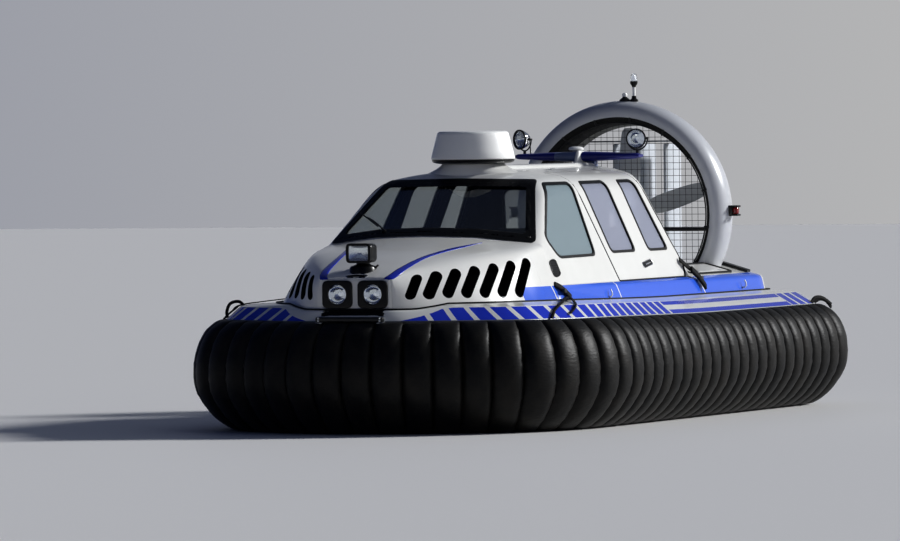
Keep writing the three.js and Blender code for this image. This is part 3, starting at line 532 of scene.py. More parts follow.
def offset_outline(outline, inward):
    """An open outline in Y and Z moved inwards along its own normals."""
    tangent = np.gradient(outline, axis=0)
    normal = np.column_stack([tangent[:, 1], -tangent[:, 0]])
    normal /= np.maximum(np.linalg.norm(normal, axis=1), 1e-9)[:, None]
    return outline - normal * inward


def whole_ring(half, x, inward):
    """The whole section at x from its port half, which runs down to the seam or, inside, below it."""
    foot = INNER_FOOT_Z if inward > 0 else RUB_Z
    half = np.concatenate([[(half[0, 0], foot)], half])
    ring = np.concatenate([half, half[-2::-1] * (-1, 1)])
    return np.column_stack([np.full(len(ring), x), ring])


def nose_solid(name, inward):
    """The nose as a closed solid, its flanks and hood smooth and its front edge rounded."""
    rows = spline(NOSE, 8)[::-1]
    face = rows[-1].copy()
    rows = list(rows[rows[:, 0] < 2.984]) + [face] * 4
    rounding = [0.0] * (len(rows) - 4) + [0.0, 0.002, 0.008, 0.018]
    places = [row[0] for row in rows[:-4]] + [2.984, 2.993, 2.998, 3.000]
    rings = []
    for row, x, more in zip(rows, places, rounding):
        base, low, high_y, high_z, shoulder_y, shoulder_z, crease_y, crease_z, crown = row[1:]
        flank = spline([(base, RUB_Z), (low, LOW_Z), (high_y, high_z), (shoulder_y, shoulder_z),
                        (crease_y, crease_z)], 5)
        ys = np.linspace(crease_y, 0, 9)[1:]
        hood = np.column_stack([ys, crown - (crown - crease_z) * (ys / crease_y) ** 2])
        half = offset_outline(np.concatenate([flank, hood]), inward + more)
        half[:, 0] = np.maximum(half[:, 0], 0)
        half[-1, 0] = 0
        rings.append(whole_ring(half, x - inward * (x > 2.9), inward))
    return loft(name, rings)


CABIN = (
    # x, base y, band y, waist y, eave y, roof drop
    (-1.750, 1.120, 1.082, 1.024, 0.696, 0.000),
    (0.500, 1.092, 1.066, 1.030, 0.708, 0.004),
    (0.900, 1.072, 1.050, 1.026, 0.706, 0.022),
    (1.450, 1.048, 1.030, 1.018, 0.700, 0.045),
    (1.800, 0.985, 0.925, 0.900, 0.672, 0.060),
)
BAND_Z = 1.050
WAIST_Z = 1.078
EAVE_Z = 1.838


def sill_solid(name, inward):
    """The low body side under the doors, with its ledge at the waist."""
    rings = []
    for x in np.concatenate([np.linspace(-1.75, 0.5, 12), np.linspace(0.55, 1.8, 20)]):
        station = [r[0] for r in CABIN]
        base, band, waist = (np.interp(x, station, [r[k] for r in CABIN]) for k in (1, 2, 3))
        half = spline([(base, RUB_Z), ((base + band) / 2 + 0.002, 0.985), (band, BAND_Z)], 3)
        ledge = [(band - 0.004, BAND_Z + 0.008), (waist + 0.012, WAIST_Z - 0.004),
                 (waist - 0.01, WAIST_Z + 0.006), (waist - 0.12, WAIST_Z + 0.03), (0, WAIST_Z + 0.03)]
        half = np.concatenate([half, ledge])
        half[:, 0] = np.maximum(half[:, 0] - inward, 0)
        half[:, 1] = np.where(half[:, 1] > WAIST_Z + 0.01, half[:, 1] + inward, half[:, 1])
        rings.append(whole_ring(half, x, inward))
    return loft(name, rings)


def soft_max(a, b, k):
    """The larger of two fields, blended where they cross, which rounds the edge between them."""
    h = np.maximum(k - np.abs(a - b), 0) / k
    return np.maximum(a, b) + h * h * k / 4


def cabin_field(x, y, z):
    """About the distance outside the cabin's sides, roof, windscreen and rear face, in metres."""
    y = np.abs(y)
    station = [r[0] for r in CABIN]
    waist, eave, drop = (np.interp(x, station, [r[k] for r in CABIN]) for k in (3, 4, 5))
    side = (y - waist + (z - WAIST_Z) * (waist - eave) / (EAVE_Z - WAIST_Z)) * 0.918
    roof = z - (1.962 - drop - 0.191 * y ** 2.2)
    rise = (z - 1.300) / 0.750
    middle, corner, corner_y = 1.961 - 1.305 * rise, 1.602 - 0.934 * rise, 0.890 - 0.342 * rise
    screen = (x - middle - (corner - middle) * (y / corner_y) ** 2) * 0.47
    heights = [0.900, 1.075, 1.860, 2.060]
    back = np.interp(z, heights, [-1.690, -1.670, -1.605, -1.590])
    back_corner = np.interp(z, heights, [-1.480, -1.420, -1.150, -1.080])
    back_y = np.interp(z, heights, [1.105, 1.030, 0.697, 0.612])
    rear = (back + (back_corner - back) * (y / back_y) ** 2 - x) * 0.93
    return soft_max(soft_max(soft_max(side, roof, 0.10), rear, 0.06), screen, 0.045)


CABIN_TURNS = 260
CABIN_RISES = 110


def cabin_solid(name, inward):
    """The cabin above its waist as a closed solid, found along rays from a line inside it."""
    turn = np.linspace(0, 2 * math.pi, CABIN_TURNS, endpoint=False)
    rise = np.linspace(-0.46, math.pi / 2 - 0.02, CABIN_RISES)
    turn_grid, rise_grid = np.meshgrid(turn, rise)
    ray = np.stack([np.cos(rise_grid) * np.cos(turn_grid) * 1.7, np.cos(rise_grid) * np.sin(turn_grid),
                    np.sin(rise_grid) * 0.8], -1)
    start = np.array([0.05, 0.0, 1.35])
    near, far = np.zeros(turn_grid.shape), np.full(turn_grid.shape, 4.0)
    for _ in range(46):
        middle = (near + far) / 2
        spot = start + ray * middle[..., None]
        outside = cabin_field(spot[..., 0], spot[..., 1], spot[..., 2]) > -inward
        far = np.where(outside, middle, far)
        near = np.where(outside, near, middle)
    return loft(name, start + ray * near[..., None])


def settle(made):
    """Turns what the modifiers make of an object into its plain mesh."""
    bpy.context.view_layer.update()
    old = made.data
    made.data = bpy.data.meshes.new_from_object(made.evaluated_get(bpy.context.evaluated_depsgraph_get()))
    made.modifiers.clear()
    bpy.data.meshes.remove(old)


def carve(target, tools, operation):
    """The target joined with, cut by or kept within other closed solids, which are then removed."""
    for made in (target, *tools):
        work = bmesh.new()
        work.from_mesh(made.data)
        bmesh.ops.triangulate(work, faces=[face for face in work.faces if len(face.verts) > 4])
        work.to_mesh(made.data)
        work.free()
    for tool in tools:
        step = target.modifiers.new("carve", "BOOLEAN")
        step.operation = operation
        step.solver = "MANIFOLD"
        step.object = tool
    settle(target)
    for tool in tools:
        bpy.data.objects.remove(tool)
    return target


def twin(source, name):
    """Another object with its own copy of a mesh."""
    made = bpy.data.objects.new(name, source.data.copy())
    bpy.context.scene.collection.objects.link(made)
    return made


def box_solid(name, low, high):
    """A plain block that other forms are cut to."""
    plan = ((low[0], low[1]), (high[0], low[1]), (high[0], high[1]), (low[0], high[1]))
    return loft(name, [[(x, y, z) for x, y in plan] for z in (low[2], high[2])])


def rounded_outline(points, radius, steps=6):
    """An outline with rounded corners."""
    found = []
    for i, corner in enumerate(points):
        corner, before, after = (np.array(points[j % len(points)], float) for j in (i, i - 1, i + 1))
        enter = corner + (before - corner) / np.linalg.norm(before - corner) * radius
        leave = corner + (after - corner) / np.linalg.norm(after - corner) * radius
        for t in np.linspace(0, 1, steps + 1):
            found.append((1 - t) ** 2 * enter + 2 * t * (1 - t) * corner + t * t * leave)
    return np.array(found)


def grown_outline(points, distance):
    """An outline with its sides moved outwards."""
    area = sum(a[0] * b[1] - b[0] * a[1] for a, b in zip(points, points[1:] + points[:1]))
    grown = []
    for i, corner in enumerate(points):
        corner, before, after = (np.array(points[j % len(points)], float) for j in (i, i - 1, i + 1))
        one = (corner - before) / np.linalg.norm(corner - before)
        two = (after - corner) / np.linalg.norm(after - corner)
        normals = np.array([one[1] + two[1], -one[0] - two[0]]) * (1 if area > 0 else -1)
        grown.append(tuple(corner + normals * 2 * distance / (normals @ normals)))
    return grown


def prism(name, outline, radius, low, high, axis="y"):
    """An outline in X and Z run along Y, or one in Y and Z run along X."""
    flat = rounded_outline(outline, radius) if radius else np.array(outline, float)
    rings = []
    for depth in (low, high):
        filler = np.full(len(flat), depth)
        columns = [flat[:, 0], filler, flat[:, 1]] if axis == "y" else [filler, flat]
        rings.append(np.column_stack(columns))
    return loft(name, rings)


REAR_FACE = (
    # height, x in the middle, x and y at the corner
    (0.500, -1.690, -1.480, 1.105),
    (1.075, -1.670, -1.420, 1.030),
    (1.860, -1.605, -1.150, 0.697),
    (2.060, -1.590, -1.080, 0.612),
)


def behind_cabin(name, inward):
    """The space behind the bowed rear face of the cabin."""
    rings = []
    for height, middle, corner, corner_y in REAR_FACE:
        ys = np.linspace(-1.5, 1.5, 61)
        face = np.column_stack([middle + (corner - middle) * (ys / corner_y) ** 2 + inward, ys])
        outline = np.concatenate([face, [(-3.6, 1.5), (-3.6, -1.5)]])
        rings.append(np.column_stack([outline, np.full(len(outline), height)]))
    return loft(name, rings)


def whole_body(name, nose_in, cabin_in):
    """Nose, sill and cabin as one solid, each moved inwards by a skin's thickness."""
    sill = carve(sill_solid("sill", cabin_in), [behind_cabin("behind", cabin_in)], "DIFFERENCE")
    return carve(nose_solid(name, nose_in), [sill, cabin_solid("upper", cabin_in)], "UNION")


body_outer = whole_body("body_outer", 0.0, 0.0)
body_inner = whole_body("body_inner", 0.03, 0.04)
body_shell = carve(twin(body_outer, "body_shell"), [twin(body_inner, "room")], "DIFFERENCE")

BLUE_BAND = {"front": 2.03, "back": -2.93, "low": 0.940, "high": 1.066, "corner": 0.045}
BAND_BREAKS = (1.52, 0.314, -1.48)


def banded_gelcoat():
    """Polished white gelcoat, a little uneven in tone, with a blue vinyl band low on the sides that
    thin slanted cuts part. The cuts show the white under the vinyl."""
    material, tree, shader = new_material("gelcoat_with_blue_side_band", "#e9e9e5", 0.2, Coat_Weight=0.3)
    maths = with_maths(tree)
    spot = add(tree, "ShaderNodeTexCoord")
    where = add(tree, "ShaderNodeSeparateXYZ", links={0: spot.outputs["Object"]})
    x, z = where.outputs[0], where.outputs[2]
    half_x = (BLUE_BAND["front"] - BLUE_BAND["back"]) / 2
    half_z = (BLUE_BAND["high"] - BLUE_BAND["low"]) / 2
    corner = BLUE_BAND["corner"]
    off_x = maths("ABSOLUTE", maths("SUBTRACT", x, BLUE_BAND["back"] + half_x))
    off_z = maths("ABSOLUTE", maths("SUBTRACT", z, BLUE_BAND["low"] + half_z))
    past_x = maths("MAXIMUM", maths("SUBTRACT", off_x, half_x - corner), 0.0)
    past_z = maths("MAXIMUM", maths("SUBTRACT", off_z, half_z - corner * 0.3), 0.0)
    reach = maths("ADD", maths("MULTIPLY", past_x, past_x), maths("MULTIPLY", past_z, past_z))
    band = maths("LESS_THAN", maths("SQRT", reach), corner * 0.5)
    lean = maths("MULTIPLY", maths("SUBTRACT", z, 1.0), -0.5)
    for place in BAND_BREAKS:
        off_break = maths("ABSOLUTE", maths("ADD", maths("SUBTRACT", x, place), lean))
        gap = maths("GREATER_THAN", off_break, 0.008)
        band = maths("MULTIPLY", band, gap)
    white = mix(tree, speckle(tree, 2.5, 5.0), "#ebebe7", "#dddcd7")
    tree.links.new(mix(tree, band, white, "#3566da"), shader.inputs["Base Color"])
    emboss(tree, shader, speckle(tree, 7.0), 0.04, 0.01)
    return material


def grained(name, colour, roughness, pattern, scale, strength, distance, **inputs):
    """A material of one colour whose surface is raised a little by a fine pattern."""
    material, tree, shader = new_material(name, colour, roughness, **inputs)
    emboss(tree, shader, pattern(tree, scale), strength, distance)
    return material


body_gelcoat = banded_gelcoat()
# Needle-felt liner glued inside the skin: near black, also as painted shade; no gloss, a little fuzzy.
lining_and_painted_shade = grained("needle_felt_lining_and_painted_shade", "#060606", 0.95, speckle, 400.0, 0.5, 0.002, Specular_IOR_Level=0.1)
# The hull's well under the cabin gets the same near black, painted shade on the floor seen through the
# glass.
hull.data.materials.append(lining_and_painted_shade)
for face in hull.data.polygons:
    if min(face.vertices) >= len(rings) * count:
        face.material_index = 1


def dress_skin(made, body, node, inner=None):
    """Gelcoat outside and the near-black inside, which also paints shade, told apart by how deep a face
    lies; smooth but for its cuts.
    """
    mesh = made.data
    mesh.materials.clear()
    mesh.materials.append(body_gelcoat)
    mesh.materials.append(inner or lining_and_painted_shade)
    inside = []
    for face in mesh.polygons:
        near, outward, _, _ = outside_tree.find_nearest(face.center)
        inside.append(int(outward.dot(near - face.center) > 0.005))
    mesh.polygons.foreach_set("material_index", inside)
    mesh.shade_smooth()
    mesh.set_sharp_from_angle(angle=math.radians(32))
    return fit(made, body, node)


outside_tree = BVHTree.FromObject(body_outer, bpy.context.evaluated_depsgraph_get())

LOUVRES = (
    # foot and head: how far beside the view's middle and how high; half width and lean of the ends
    (-0.709, 1.042, -0.664, 1.159, 0.040, 0.007),
    (-0.573, 1.045, -0.516, 1.177, 0.043, 0.018),
    (-0.430, 1.052, -0.372, 1.192, 0.040, 0.020),
    (-0.291, 1.050, -0.228, 1.206, 0.039, 0.023),
    (-0.155, 1.048, -0.086, 1.221, 0.036, 0.024),
    (-0.023, 1.045, 0.045, 1.237, 0.034, 0.024),
    (0.106, 1.042, 0.163, 1.252, 0.032, 0.024),
)
LOUVRE_END = 0.034
CUT_STEP = 0.015


def leaning_slot(foot_side, foot_z, head_side, head_z, half, lean):
    """A slot whose round ends lean as the flank's slant shows them from the bow quarter."""
    foot, head = np.array((foot_side, foot_z)), np.array((head_side, head_z))
    along = (head - foot) / (head_z - foot_z) * LOUVRE_END
    across = np.array((half, -lean))
    turn = np.linspace(0, math.pi, 13)[:, None]
    end = across * np.cos(turn) + along * np.sin(turn)
    return np.concatenate([head + end, foot - end])


def round_slot(foot, head, radius):
    """The outline of a slot with round ends about two points."""
    lean = math.atan2(head[1] - foot[1], head[0] - foot[0])
    outline = []
    for (x, z), turn in ((head, -90), (foot, 90)):
        for step in range(13):
            a = lean + math.radians(turn + 15 * step)
            outline.append((x + radius * math.cos(a), z + radius * math.sin(a)))
    return outline


def on_flank(outline):
    """Takes an outline drawn square to the bow quarter onto the port flank, as places along and up."""
    sight = Vector((-math.cos(CAMERA_YAW), -math.sin(CAMERA_YAW), 0))
    found = []
    for here, there in zip(outline, np.roll(outline, -1, axis=0)):
        pieces = max(1, round(math.dist(here, there) / CUT_STEP))
        for step in range(pieces):
            beside, height = np.array(here) + (np.array(there) - here) * step / pieces
            start = Vector((-math.sin(CAMERA_YAW) * beside, math.cos(CAMERA_YAW) * beside, height))
            place, _, _, _ = outside_tree.ray_cast(start - sight * 8, sight)
            found.append((place.x, place.z))
    return found


LAMP_Y = 0.144
LAMP_Z = 1.050
LAMP_HOLE = 0.0863
nose_box = box_solid("ahead", (SEAM_X + 0.0003, -2, 0.5), (4, 2, 3))
nose = carve(twin(body_shell, "nose_skin"), [nose_box], "INTERSECT")
holes = []
for louvre in LOUVRES:
    slot = on_flank(leaning_slot(*louvre))
    for side in (1, -1):
        low, high = sorted((side * 0.33, side * 1.1))
        holes.append(prism("slot", slot, 0, low, high))
for side in (1, -1):
    round_hole = [(side * LAMP_Y + LAMP_HOLE * math.cos(a), LAMP_Z + LAMP_HOLE * math.sin(a))
                  for a in np.linspace(0, 2 * math.pi, 64, endpoint=False)]
    holes.append(prism("lamp_hole", round_hole, 0, 2.8, 3.2, "x"))
nose = carve(nose, holes, "DIFFERENCE")
# Black paint inside the nose and on the walls of its cuts, which also paints the shade in the louvres and
# lamp holes.
inside_paint_and_shade = new_material("black_paint_and_painted_shade_inside_the_nose", "#040404", 0.9, Specular_IOR_Level=0.1)[0]
dress_skin(nose, "craft", "nose_fairing", inside_paint_and_shade)

QUARTER = [(.860, 1.848), (.360, 1.848), (.460, 1.290), (1.200, 1.285), (1.320, 1.437)]
DOOR_PANES = {
    "front": [(.150, 1.848), (-.380, 1.848), (-.420, 1.303), (.095, 1.303)],
    "rear": [(-.665, 1.848), (-.990, 1.848), (-1.130, 1.303), (-.710, 1.303)],
}
SCREEN = [(-.606, 1.866), (-.824, 1.420), (-.420, 1.468), (0, 1.482), (.420, 1.468), (.824, 1.420),
          (.606, 1.866), (0, 1.876)]
REAR_PANE = [(.250, 1.400), (.250, 1.780), (.560, 1.780), (.600, 1.400)]
PANE_RADIUS = 0.055
SCREEN_RADIUS = 0.028
DOOR = [(.170, 1.080), (.300, 1.830), (.302, 2.060), (-1.095, 2.060), (-1.097, 1.845), (-1.330, 1.190),
        (-1.270, 1.080)]
DOOR_GAP = 0.005
DOOR_TOP_Y = 0.450
FLANGE = 0.014


def side_prism(name, outline, radius, side, inner=0.5):
    """An outline in X and Z run outwards through one side of the cabin."""
    low, high = sorted((side * inner, side * 1.3))
    return prism(name, outline, radius, low, high)


def window_rebate(outline, margin, side):
    """The space that thins the skin to a flange round a side window."""
    edge = side_prism("edge", grown_outline(outline, margin), PANE_RADIUS + margin, side)
    return carve(cabin_solid("rebate", FLANGE), [edge], "INTERSECT")


cabin = carve(twin(body_shell, "cabin_skin"), [box_solid("behind", (-4, -2, 0.5), (SEAM_X, 2, 3))],
              "INTERSECT")
RIDGE = [(-.190, 1.900), (.190, 1.900), (.140, 1.985), (-.140, 1.985)]
cabin = carve(cabin, [prism("ridge", RIDGE, 0.02, -1.56, 0.70, "x")], "UNION")
openings = [prism("opening", SCREEN, SCREEN_RADIUS, 0.7, 1.76, "x")]
for side in (1, -1):
    openings.append(prism("opening", [(side * y, z) for y, z in REAR_PANE], 0.07, -1.8, -1.15, "x"))
    openings.append(side_prism("opening", QUARTER, PANE_RADIUS, side))
    openings.append(window_rebate(QUARTER, 0.025, side))
    openings.append(side_prism("opening", DOOR, 0, side, DOOR_TOP_Y))
cabin = carve(cabin, openings, "DIFFERENCE")
dress_skin(cabin, "craft", "cabin_shell")

for side, hand in SIDES:
    door = twin(body_shell, "door_skin_" + side)
    blank = side_prism("blank", grown_outline(DOOR, -DOOR_GAP), 0, hand, DOOR_TOP_Y + DOOR_GAP)
    door = carve(door, [blank], "INTERSECT")
    panes = DOOR_PANES.values()
    door = carve(door, [side_prism("pane", pane, PANE_RADIUS, hand) for pane in panes], "DIFFERENCE")
    door = carve(door, [window_rebate(pane, 0.055, hand) for pane in panes], "DIFFERENCE")
    dress_skin(door, "door_" + side, "door_" + side)


# The hood's trim
# Lines of blue cast vinyl film along the two creases of the hood. They taper out before the
# windscreen.
LINE_WIDTH = (0.078, 0.046)


def on_body(place, lift):
    """The nearest point of the body's outside, raised by a small lift."""
    near, outward, _, _ = outside_tree.find_nearest(Vector(place))
    return near + outward * lift


def crease_line(name, hand):
    """A film of vinyl along one crease, wider ahead and tapering out behind."""
    rows = [row for row in spline(NOSE, 10) if row[0] > 1.745]
    verts = []
    for row in rows:
        x, crease_y, crease_z = row[0], row[7], row[8]
        width = LINE_WIDTH[1] + (LINE_WIDTH[0] - LINE_WIDTH[1]) * max(0.0, (x - 2.5) / 0.5)
        width *= min(1.0, (x - 1.735) / 0.3)
        for k in range(7):
            y = crease_y + width * (k / 6 - 0.5)
            verts.append(on_body((min(x, 2.996), y * hand, crease_z), 0.0022))
    faces = [(r * 7 + k, r * 7 + k + 1, r * 7 + k + 8, r * 7 + k + 7)
             for r in range(len(rows) - 1) for k in range(6)]
    made = finish_mesh(name, verts, faces if hand > 0 else [face[::-1] for face in faces], blue_vinyl)
    if made.data.polygons[20].normal.z < 0:
        made.data.flip_normals()
    return fit(thicken(made, 0.004))


blue_vinyl = new_material("blue_cast_vinyl", "#1a2fae", 0.22, Coat_Weight=0.2)[0]
crease_line("hood_line_port", 1)
crease_line("hood_line_starboard", -1)


# The windows
# Safety glass, each pane in a black rubber seal that covers the cut edge: clear in the
# windscreen, which has a wide black border, greenish beside it and coated grey in the doors;
# these greenish and grey panes are partly opaque, their pale colour a painted reflection of the sky.
def pane_skin(name, outer, inner):
    """A thin layer of the cabin's outside, between two depths under it."""
    return carve(cabin_solid(name, outer), [cabin_solid("core", inner)], "DIFFERENCE")


screen_glass = new_material("clear_float_glass", "#dde6e4", 0.02, Transmission_Weight=1.0, IOR=1.45,
                            Specular_IOR_Level=0.15)[0]
# The pale colour of these partly opaque panes paints the sky's reflection on them.
green_glass_painted_reflection = new_material("green_glass_with_painted_reflection", "#bccfd6", 0.06, Alpha=0.5)[0]
grey_glass_painted_reflection = new_material("grey_coated_glass_with_painted_reflection", "#ccd1e4", 0.06, Alpha=0.52)[0]
bare_side = new_material("uncoated_side_of_glass", "#aab4b6", 0.05, Alpha=0.08)[0]
# EPDM rubber seal: black, satin, and faintly grainy.
seal = grained("epdm_rubber_seal", "#040405", 0.42, speckle, 300.0, 0.2, 0.0005, Specular_IOR_Level=0.2)
pane_layer = pane_skin("pane_layer", 0.008, 0.013)
seal_layer = pane_skin("seal_layer", -0.004, 0.018)


def glaze(name, node, outline, radius, body, place, glass, margin=0.017):
    """One pane and its seal; place makes the closed form of an outline at this window."""
    pane = carve(twin(pane_layer, name), [place(outline, radius)], "INTERSECT")
    pane.data.materials.clear()
    pane.data.materials.append(glass)
    if glass != screen_glass:
        pane.data.materials.append(bare_side)
        for face in pane.data.polygons:
            near, outward, _, _ = outside_tree.find_nearest(face.center)
            face.material_index = int(outward.dot(near - face.center) > 0.0115)
    outer = place(grown_outline(outline, margin * 0.55), radius + margin * 0.5)
    ring = carve(twin(seal_layer, name + "_seal"), [outer], "INTERSECT")
    ring = carve(ring, [place(grown_outline(outline, -margin * 0.6), radius - margin * 0.4)], "DIFFERENCE")
    ring.data.materials.clear()
    ring.data.materials.append(seal)
    for made in (pane, ring):
        made.data.shade_smooth()
        made.data.set_sharp_from_angle(angle=math.radians(32))
    fit(pane, body, node)
    fit(ring, body)


for side, hand in SIDES:
    def beside(outline, radius, hand=hand):
        """A window's form run out through this side."""
        return side_prism("window", outline, radius, hand)

    def behind(outline, radius, hand=hand):
        """A window's form run out through the rear face on this side."""
        return prism("window", [(hand * y, z) for y, z in outline], radius, -1.8, -1.15, "x")

    glaze("quarter_pane_" + side, "quarter_glass_" + side, QUARTER, PANE_RADIUS, "craft", beside,
          green_glass_painted_reflection)
    glaze("rear_pane_" + side, "rear_glass_" + side, REAR_PANE, 0.07, "craft", behind, grey_glass_painted_reflection)
    for place, outline in DOOR_PANES.items():
        glaze(f"door_pane_{place}_{side}", f"door_glass_{place}_{side}", outline, PANE_RADIUS,
              "door_" + side, beside, grey_glass_painted_reflection)


def ahead_of(outline, radius):
    """A window's form run out through the windscreen."""
    return prism("window", outline, radius, 0.7, 1.76, "x")


glaze("windscreen_pane", "windscreen", SCREEN, SCREEN_RADIUS, "craft", ahead_of, screen_glass, 0.03)
border_form = ahead_of(grown_outline(SCREEN, -0.01), SCREEN_RADIUS)
border = carve(twin(seal_layer, "windscreen_border"), [border_form], "INTERSECT")
border = carve(border, [ahead_of(grown_outline(SCREEN, -0.042), 0.03)], "DIFFERENCE")
border.data.materials.clear()
border.data.materials.append(seal)
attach(border, "craft")
for spare in (pane_layer, seal_layer, body_shell, body_outer, body_inner):
    bpy.data.objects.remove(spare)


# The engine deck
# A glass-fibre cover behind the cabin, its top falling away to both sides, cut out for the
# duct. A hatch on each side has a thick black seal.
DECK = (
    # x, base y, band y, edge y, edge z, slope y, slope z, crown z
    (-1.350, 1.113, 1.076, 1.000, 1.086, 0.720, 1.163, 1.192),
    (-2.300, 1.110, 1.076, 1.000, 1.083, 0.720, 1.160, 1.190),
    (-2.950, 1.092, 1.060, 0.985, 1.070, 0.700, 1.146, 1.172),
)


def filleted(points, radii, steps=5):
    """An open outline whose inner corners are rounded."""
    found = [np.array(points[0], float)]
    for i in range(1, len(points) - 1):
        before, corner, after = (np.array(points[j], float) for j in (i - 1, i, i + 1))
        enter = corner + (before - corner) / np.linalg.norm(before - corner) * radii[i - 1]
        leave = corner + (after - corner) / np.linalg.norm(after - corner) * radii[i - 1]
        for t in np.linspace(0, 1, steps + 1):
            found.append((1 - t) ** 2 * enter + 2 * t * (1 - t) * corner + t * t * leave)
    found.append(np.array(points[-1], float))
    return np.array(found)


def deck_solid(name, inward):
    """The deck as a closed solid, moved inwards by its skin's thickness, its aft edge rounded."""
    rings = []
    places = [(x, 0.0) for x in np.linspace(-1.35, -2.93, 14)]
    places += [(-2.940, 0.004), (-2.947, 0.011), (-2.950, 0.022)]
    table = np.array(DECK)[::-1]
    for x, more in places:
        row = [np.interp(x, table[:, 0], table[:, k]) for k in range(1, 8)]
        base, band, edge_y, edge_z, slope_y, slope_z, crown = row
        corners = [(base, RUB_Z), (band, BAND_Z), (edge_y, edge_z), (slope_y, slope_z)]
        half = filleted(corners + [(0.30, crown - 0.006), (0, crown)], (0.03, 0.03, 0.05, 0.1))
        half = offset_outline(half, inward + more)
        half[:, 0] = np.maximum(half[:, 0], 0)
        half[-1, 0] = 0
        rings.append(whole_ring(half, x + inward * (x < -2.9), inward))
    return loft(name, rings)


DUCT_Z = 1.553


def lathe(name, profile, centre, axis=(1, 0, 0), segments=96, material=None, sharp=math.radians(35),
          closed=False, slot=None, body="craft", node=None):
    """A profile of (along, radius) turned about an axis. An open one starts and ends on the axis; a
    closed one is a loop. With a slot it is a finished piece; without, a form to cut with."""
    axis = Vector(axis).normalized()
    side = axis.orthogonal().normalized()
    other = axis.cross(side)
    verts, faces = [], []
    count = len(profile)
    spans = count if closed else count - 1
    for s in range(segments):
        a = 2 * math.pi * s / segments
        outward = side * math.cos(a) + other * math.sin(a)
        verts += [Vector(centre) + axis * along + outward * radius for along, radius in profile]
    for s in range(segments):
        here, there = s * count, ((s + 1) % segments) * count
        faces += [(here + k, there + k, there + (k + 1) % count, here + (k + 1) % count)
                  for k in range(spans)]
    made = turn_outwards(finish_mesh(name, verts, faces, material, sharp))
    return fit(made, body, node) if slot else made


deck = carve(deck_solid("engine_deck_skin", 0.0), [deck_solid("under", 0.03)], "DIFFERENCE")
deck = carve(deck, [behind_cabin("behind", -0.0005)], "INTERSECT")
DUCT_ROOM = [(-2.45, 0), (-2.45, 0.905), (-2.50, 0.921), (-2.70, 0.921), (-2.74, 0.88), (-2.75, 0.80)]
DECK_ROOM_END = -3.2
HULL_ROOM_END = -2.93


def duct_room(end_x):
    """The room for the duct and the propeller's sweep, back to a given x."""
    return lathe("duct_room", DUCT_ROOM + [(end_x, 0.80), (end_x, 0)], (0, 0, DUCT_Z))


deck = carve(deck, [duct_room(DECK_ROOM_END)], "DIFFERENCE")
hull = carve(hull, [duct_room(HULL_ROOM_END)], "DIFFERENCE")
hull.data.shade_smooth()
hull.data.set_sharp_from_angle(angle=math.radians(28))
fit(hull, node="hull")
deck.data.materials.clear()
deck.data.materials.append(body_gelcoat)
deck.data.shade_smooth()
deck.data.set_sharp_from_angle(angle=math.radians(32))
fit(deck, node="engine_deck")


# The duct
# A deep glass-fibre ring round the propeller. Its wide rolled lip is gelcoated, its white greyed
# as painted shade; black foam sheet lines it from the lip's inner half to the propeller, and
# behind that it is bare, a mid grey that is painted shade as well.
FOAM_EDGE = 0.788
BARE_EDGE = 0.76
LAMINATE_X = -2.765


def duct_profile():
    """The section of the ring: the rolled lip, then the thin wall behind it."""
    turn = np.linspace(-math.pi / 2, math.pi * 0.84, 26)
    lip = [(-2.6 + 0.150 * math.cos(a), 0.825 + 0.095 * math.sin(a)) for a in turn]
    return lip + [(-2.755, 0.800), (-2.77, 0.795), (-2.892, 0.795), (-2.900, 0.790), (-2.900, 0.718),
                  (-2.894, 0.714), (-2.762, 0.726)]


# The duct's white is greyed and its unlined wall mid grey, both painted shade.
duct_gelcoat_painted_shade = new_material("gelcoat_of_the_duct_greyed_as_painted_shade", "#c3c5c9", 0.28, Coat_Weight=0.2)[0]
unlined_wall_painted_shade = new_material("unlined_duct_wall_grey_as_painted_shade", "#7d7d78", 0.7)[0]
duct = lathe("duct_ring", duct_profile(), (0, 0, DUCT_Z), segments=160, material=duct_gelcoat_painted_shade, closed=True,
             slot="gelcoat", node="duct")
# Open-celled foam sheet: black, dull and pitted.
foam = grained("black_foam_lining", "#151514", 0.9, cells_of, 90.0, 0.6, 0.004)
duct.data.materials.append(foam)
duct.data.materials.append(unlined_wall_painted_shade)
for face in duct.data.polygons:
    middle = face.center
    radius = math.hypot(middle.y, middle.z - DUCT_Z)
    if radius < FOAM_EDGE and middle.x > LAMINATE_X:
        face.material_index = 1
    elif radius < BARE_EDGE and middle.x <= LAMINATE_X:
        face.material_index = 2


# The propeller guard
# A ring of bent rod with a welded mesh of thin wires, dull black, held by clips on the lip.
def grow(name, tree, points, edges, values, material):
    """Runs a geometry tree on a frame of points and edges, and keeps the result as a plain mesh."""
    mesh = bpy.data.meshes.new(name)
    mesh.from_pydata([tuple(p) for p in points], edges, [])
    made = bpy.data.objects.new(name, mesh)
    bpy.context.scene.collection.objects.link(made)
    step = made.modifiers.new("grow", "NODES")
    step.node_group = tree
    values = {**values, "Material": material}
    for item in tree.interface.items_tree:
        if item.item_type == "SOCKET" and item.in_out == "INPUT" and item.name in values:
            step[item.identifier] = values[item.name]
    settle(made)
    made.data.name = name
    return made


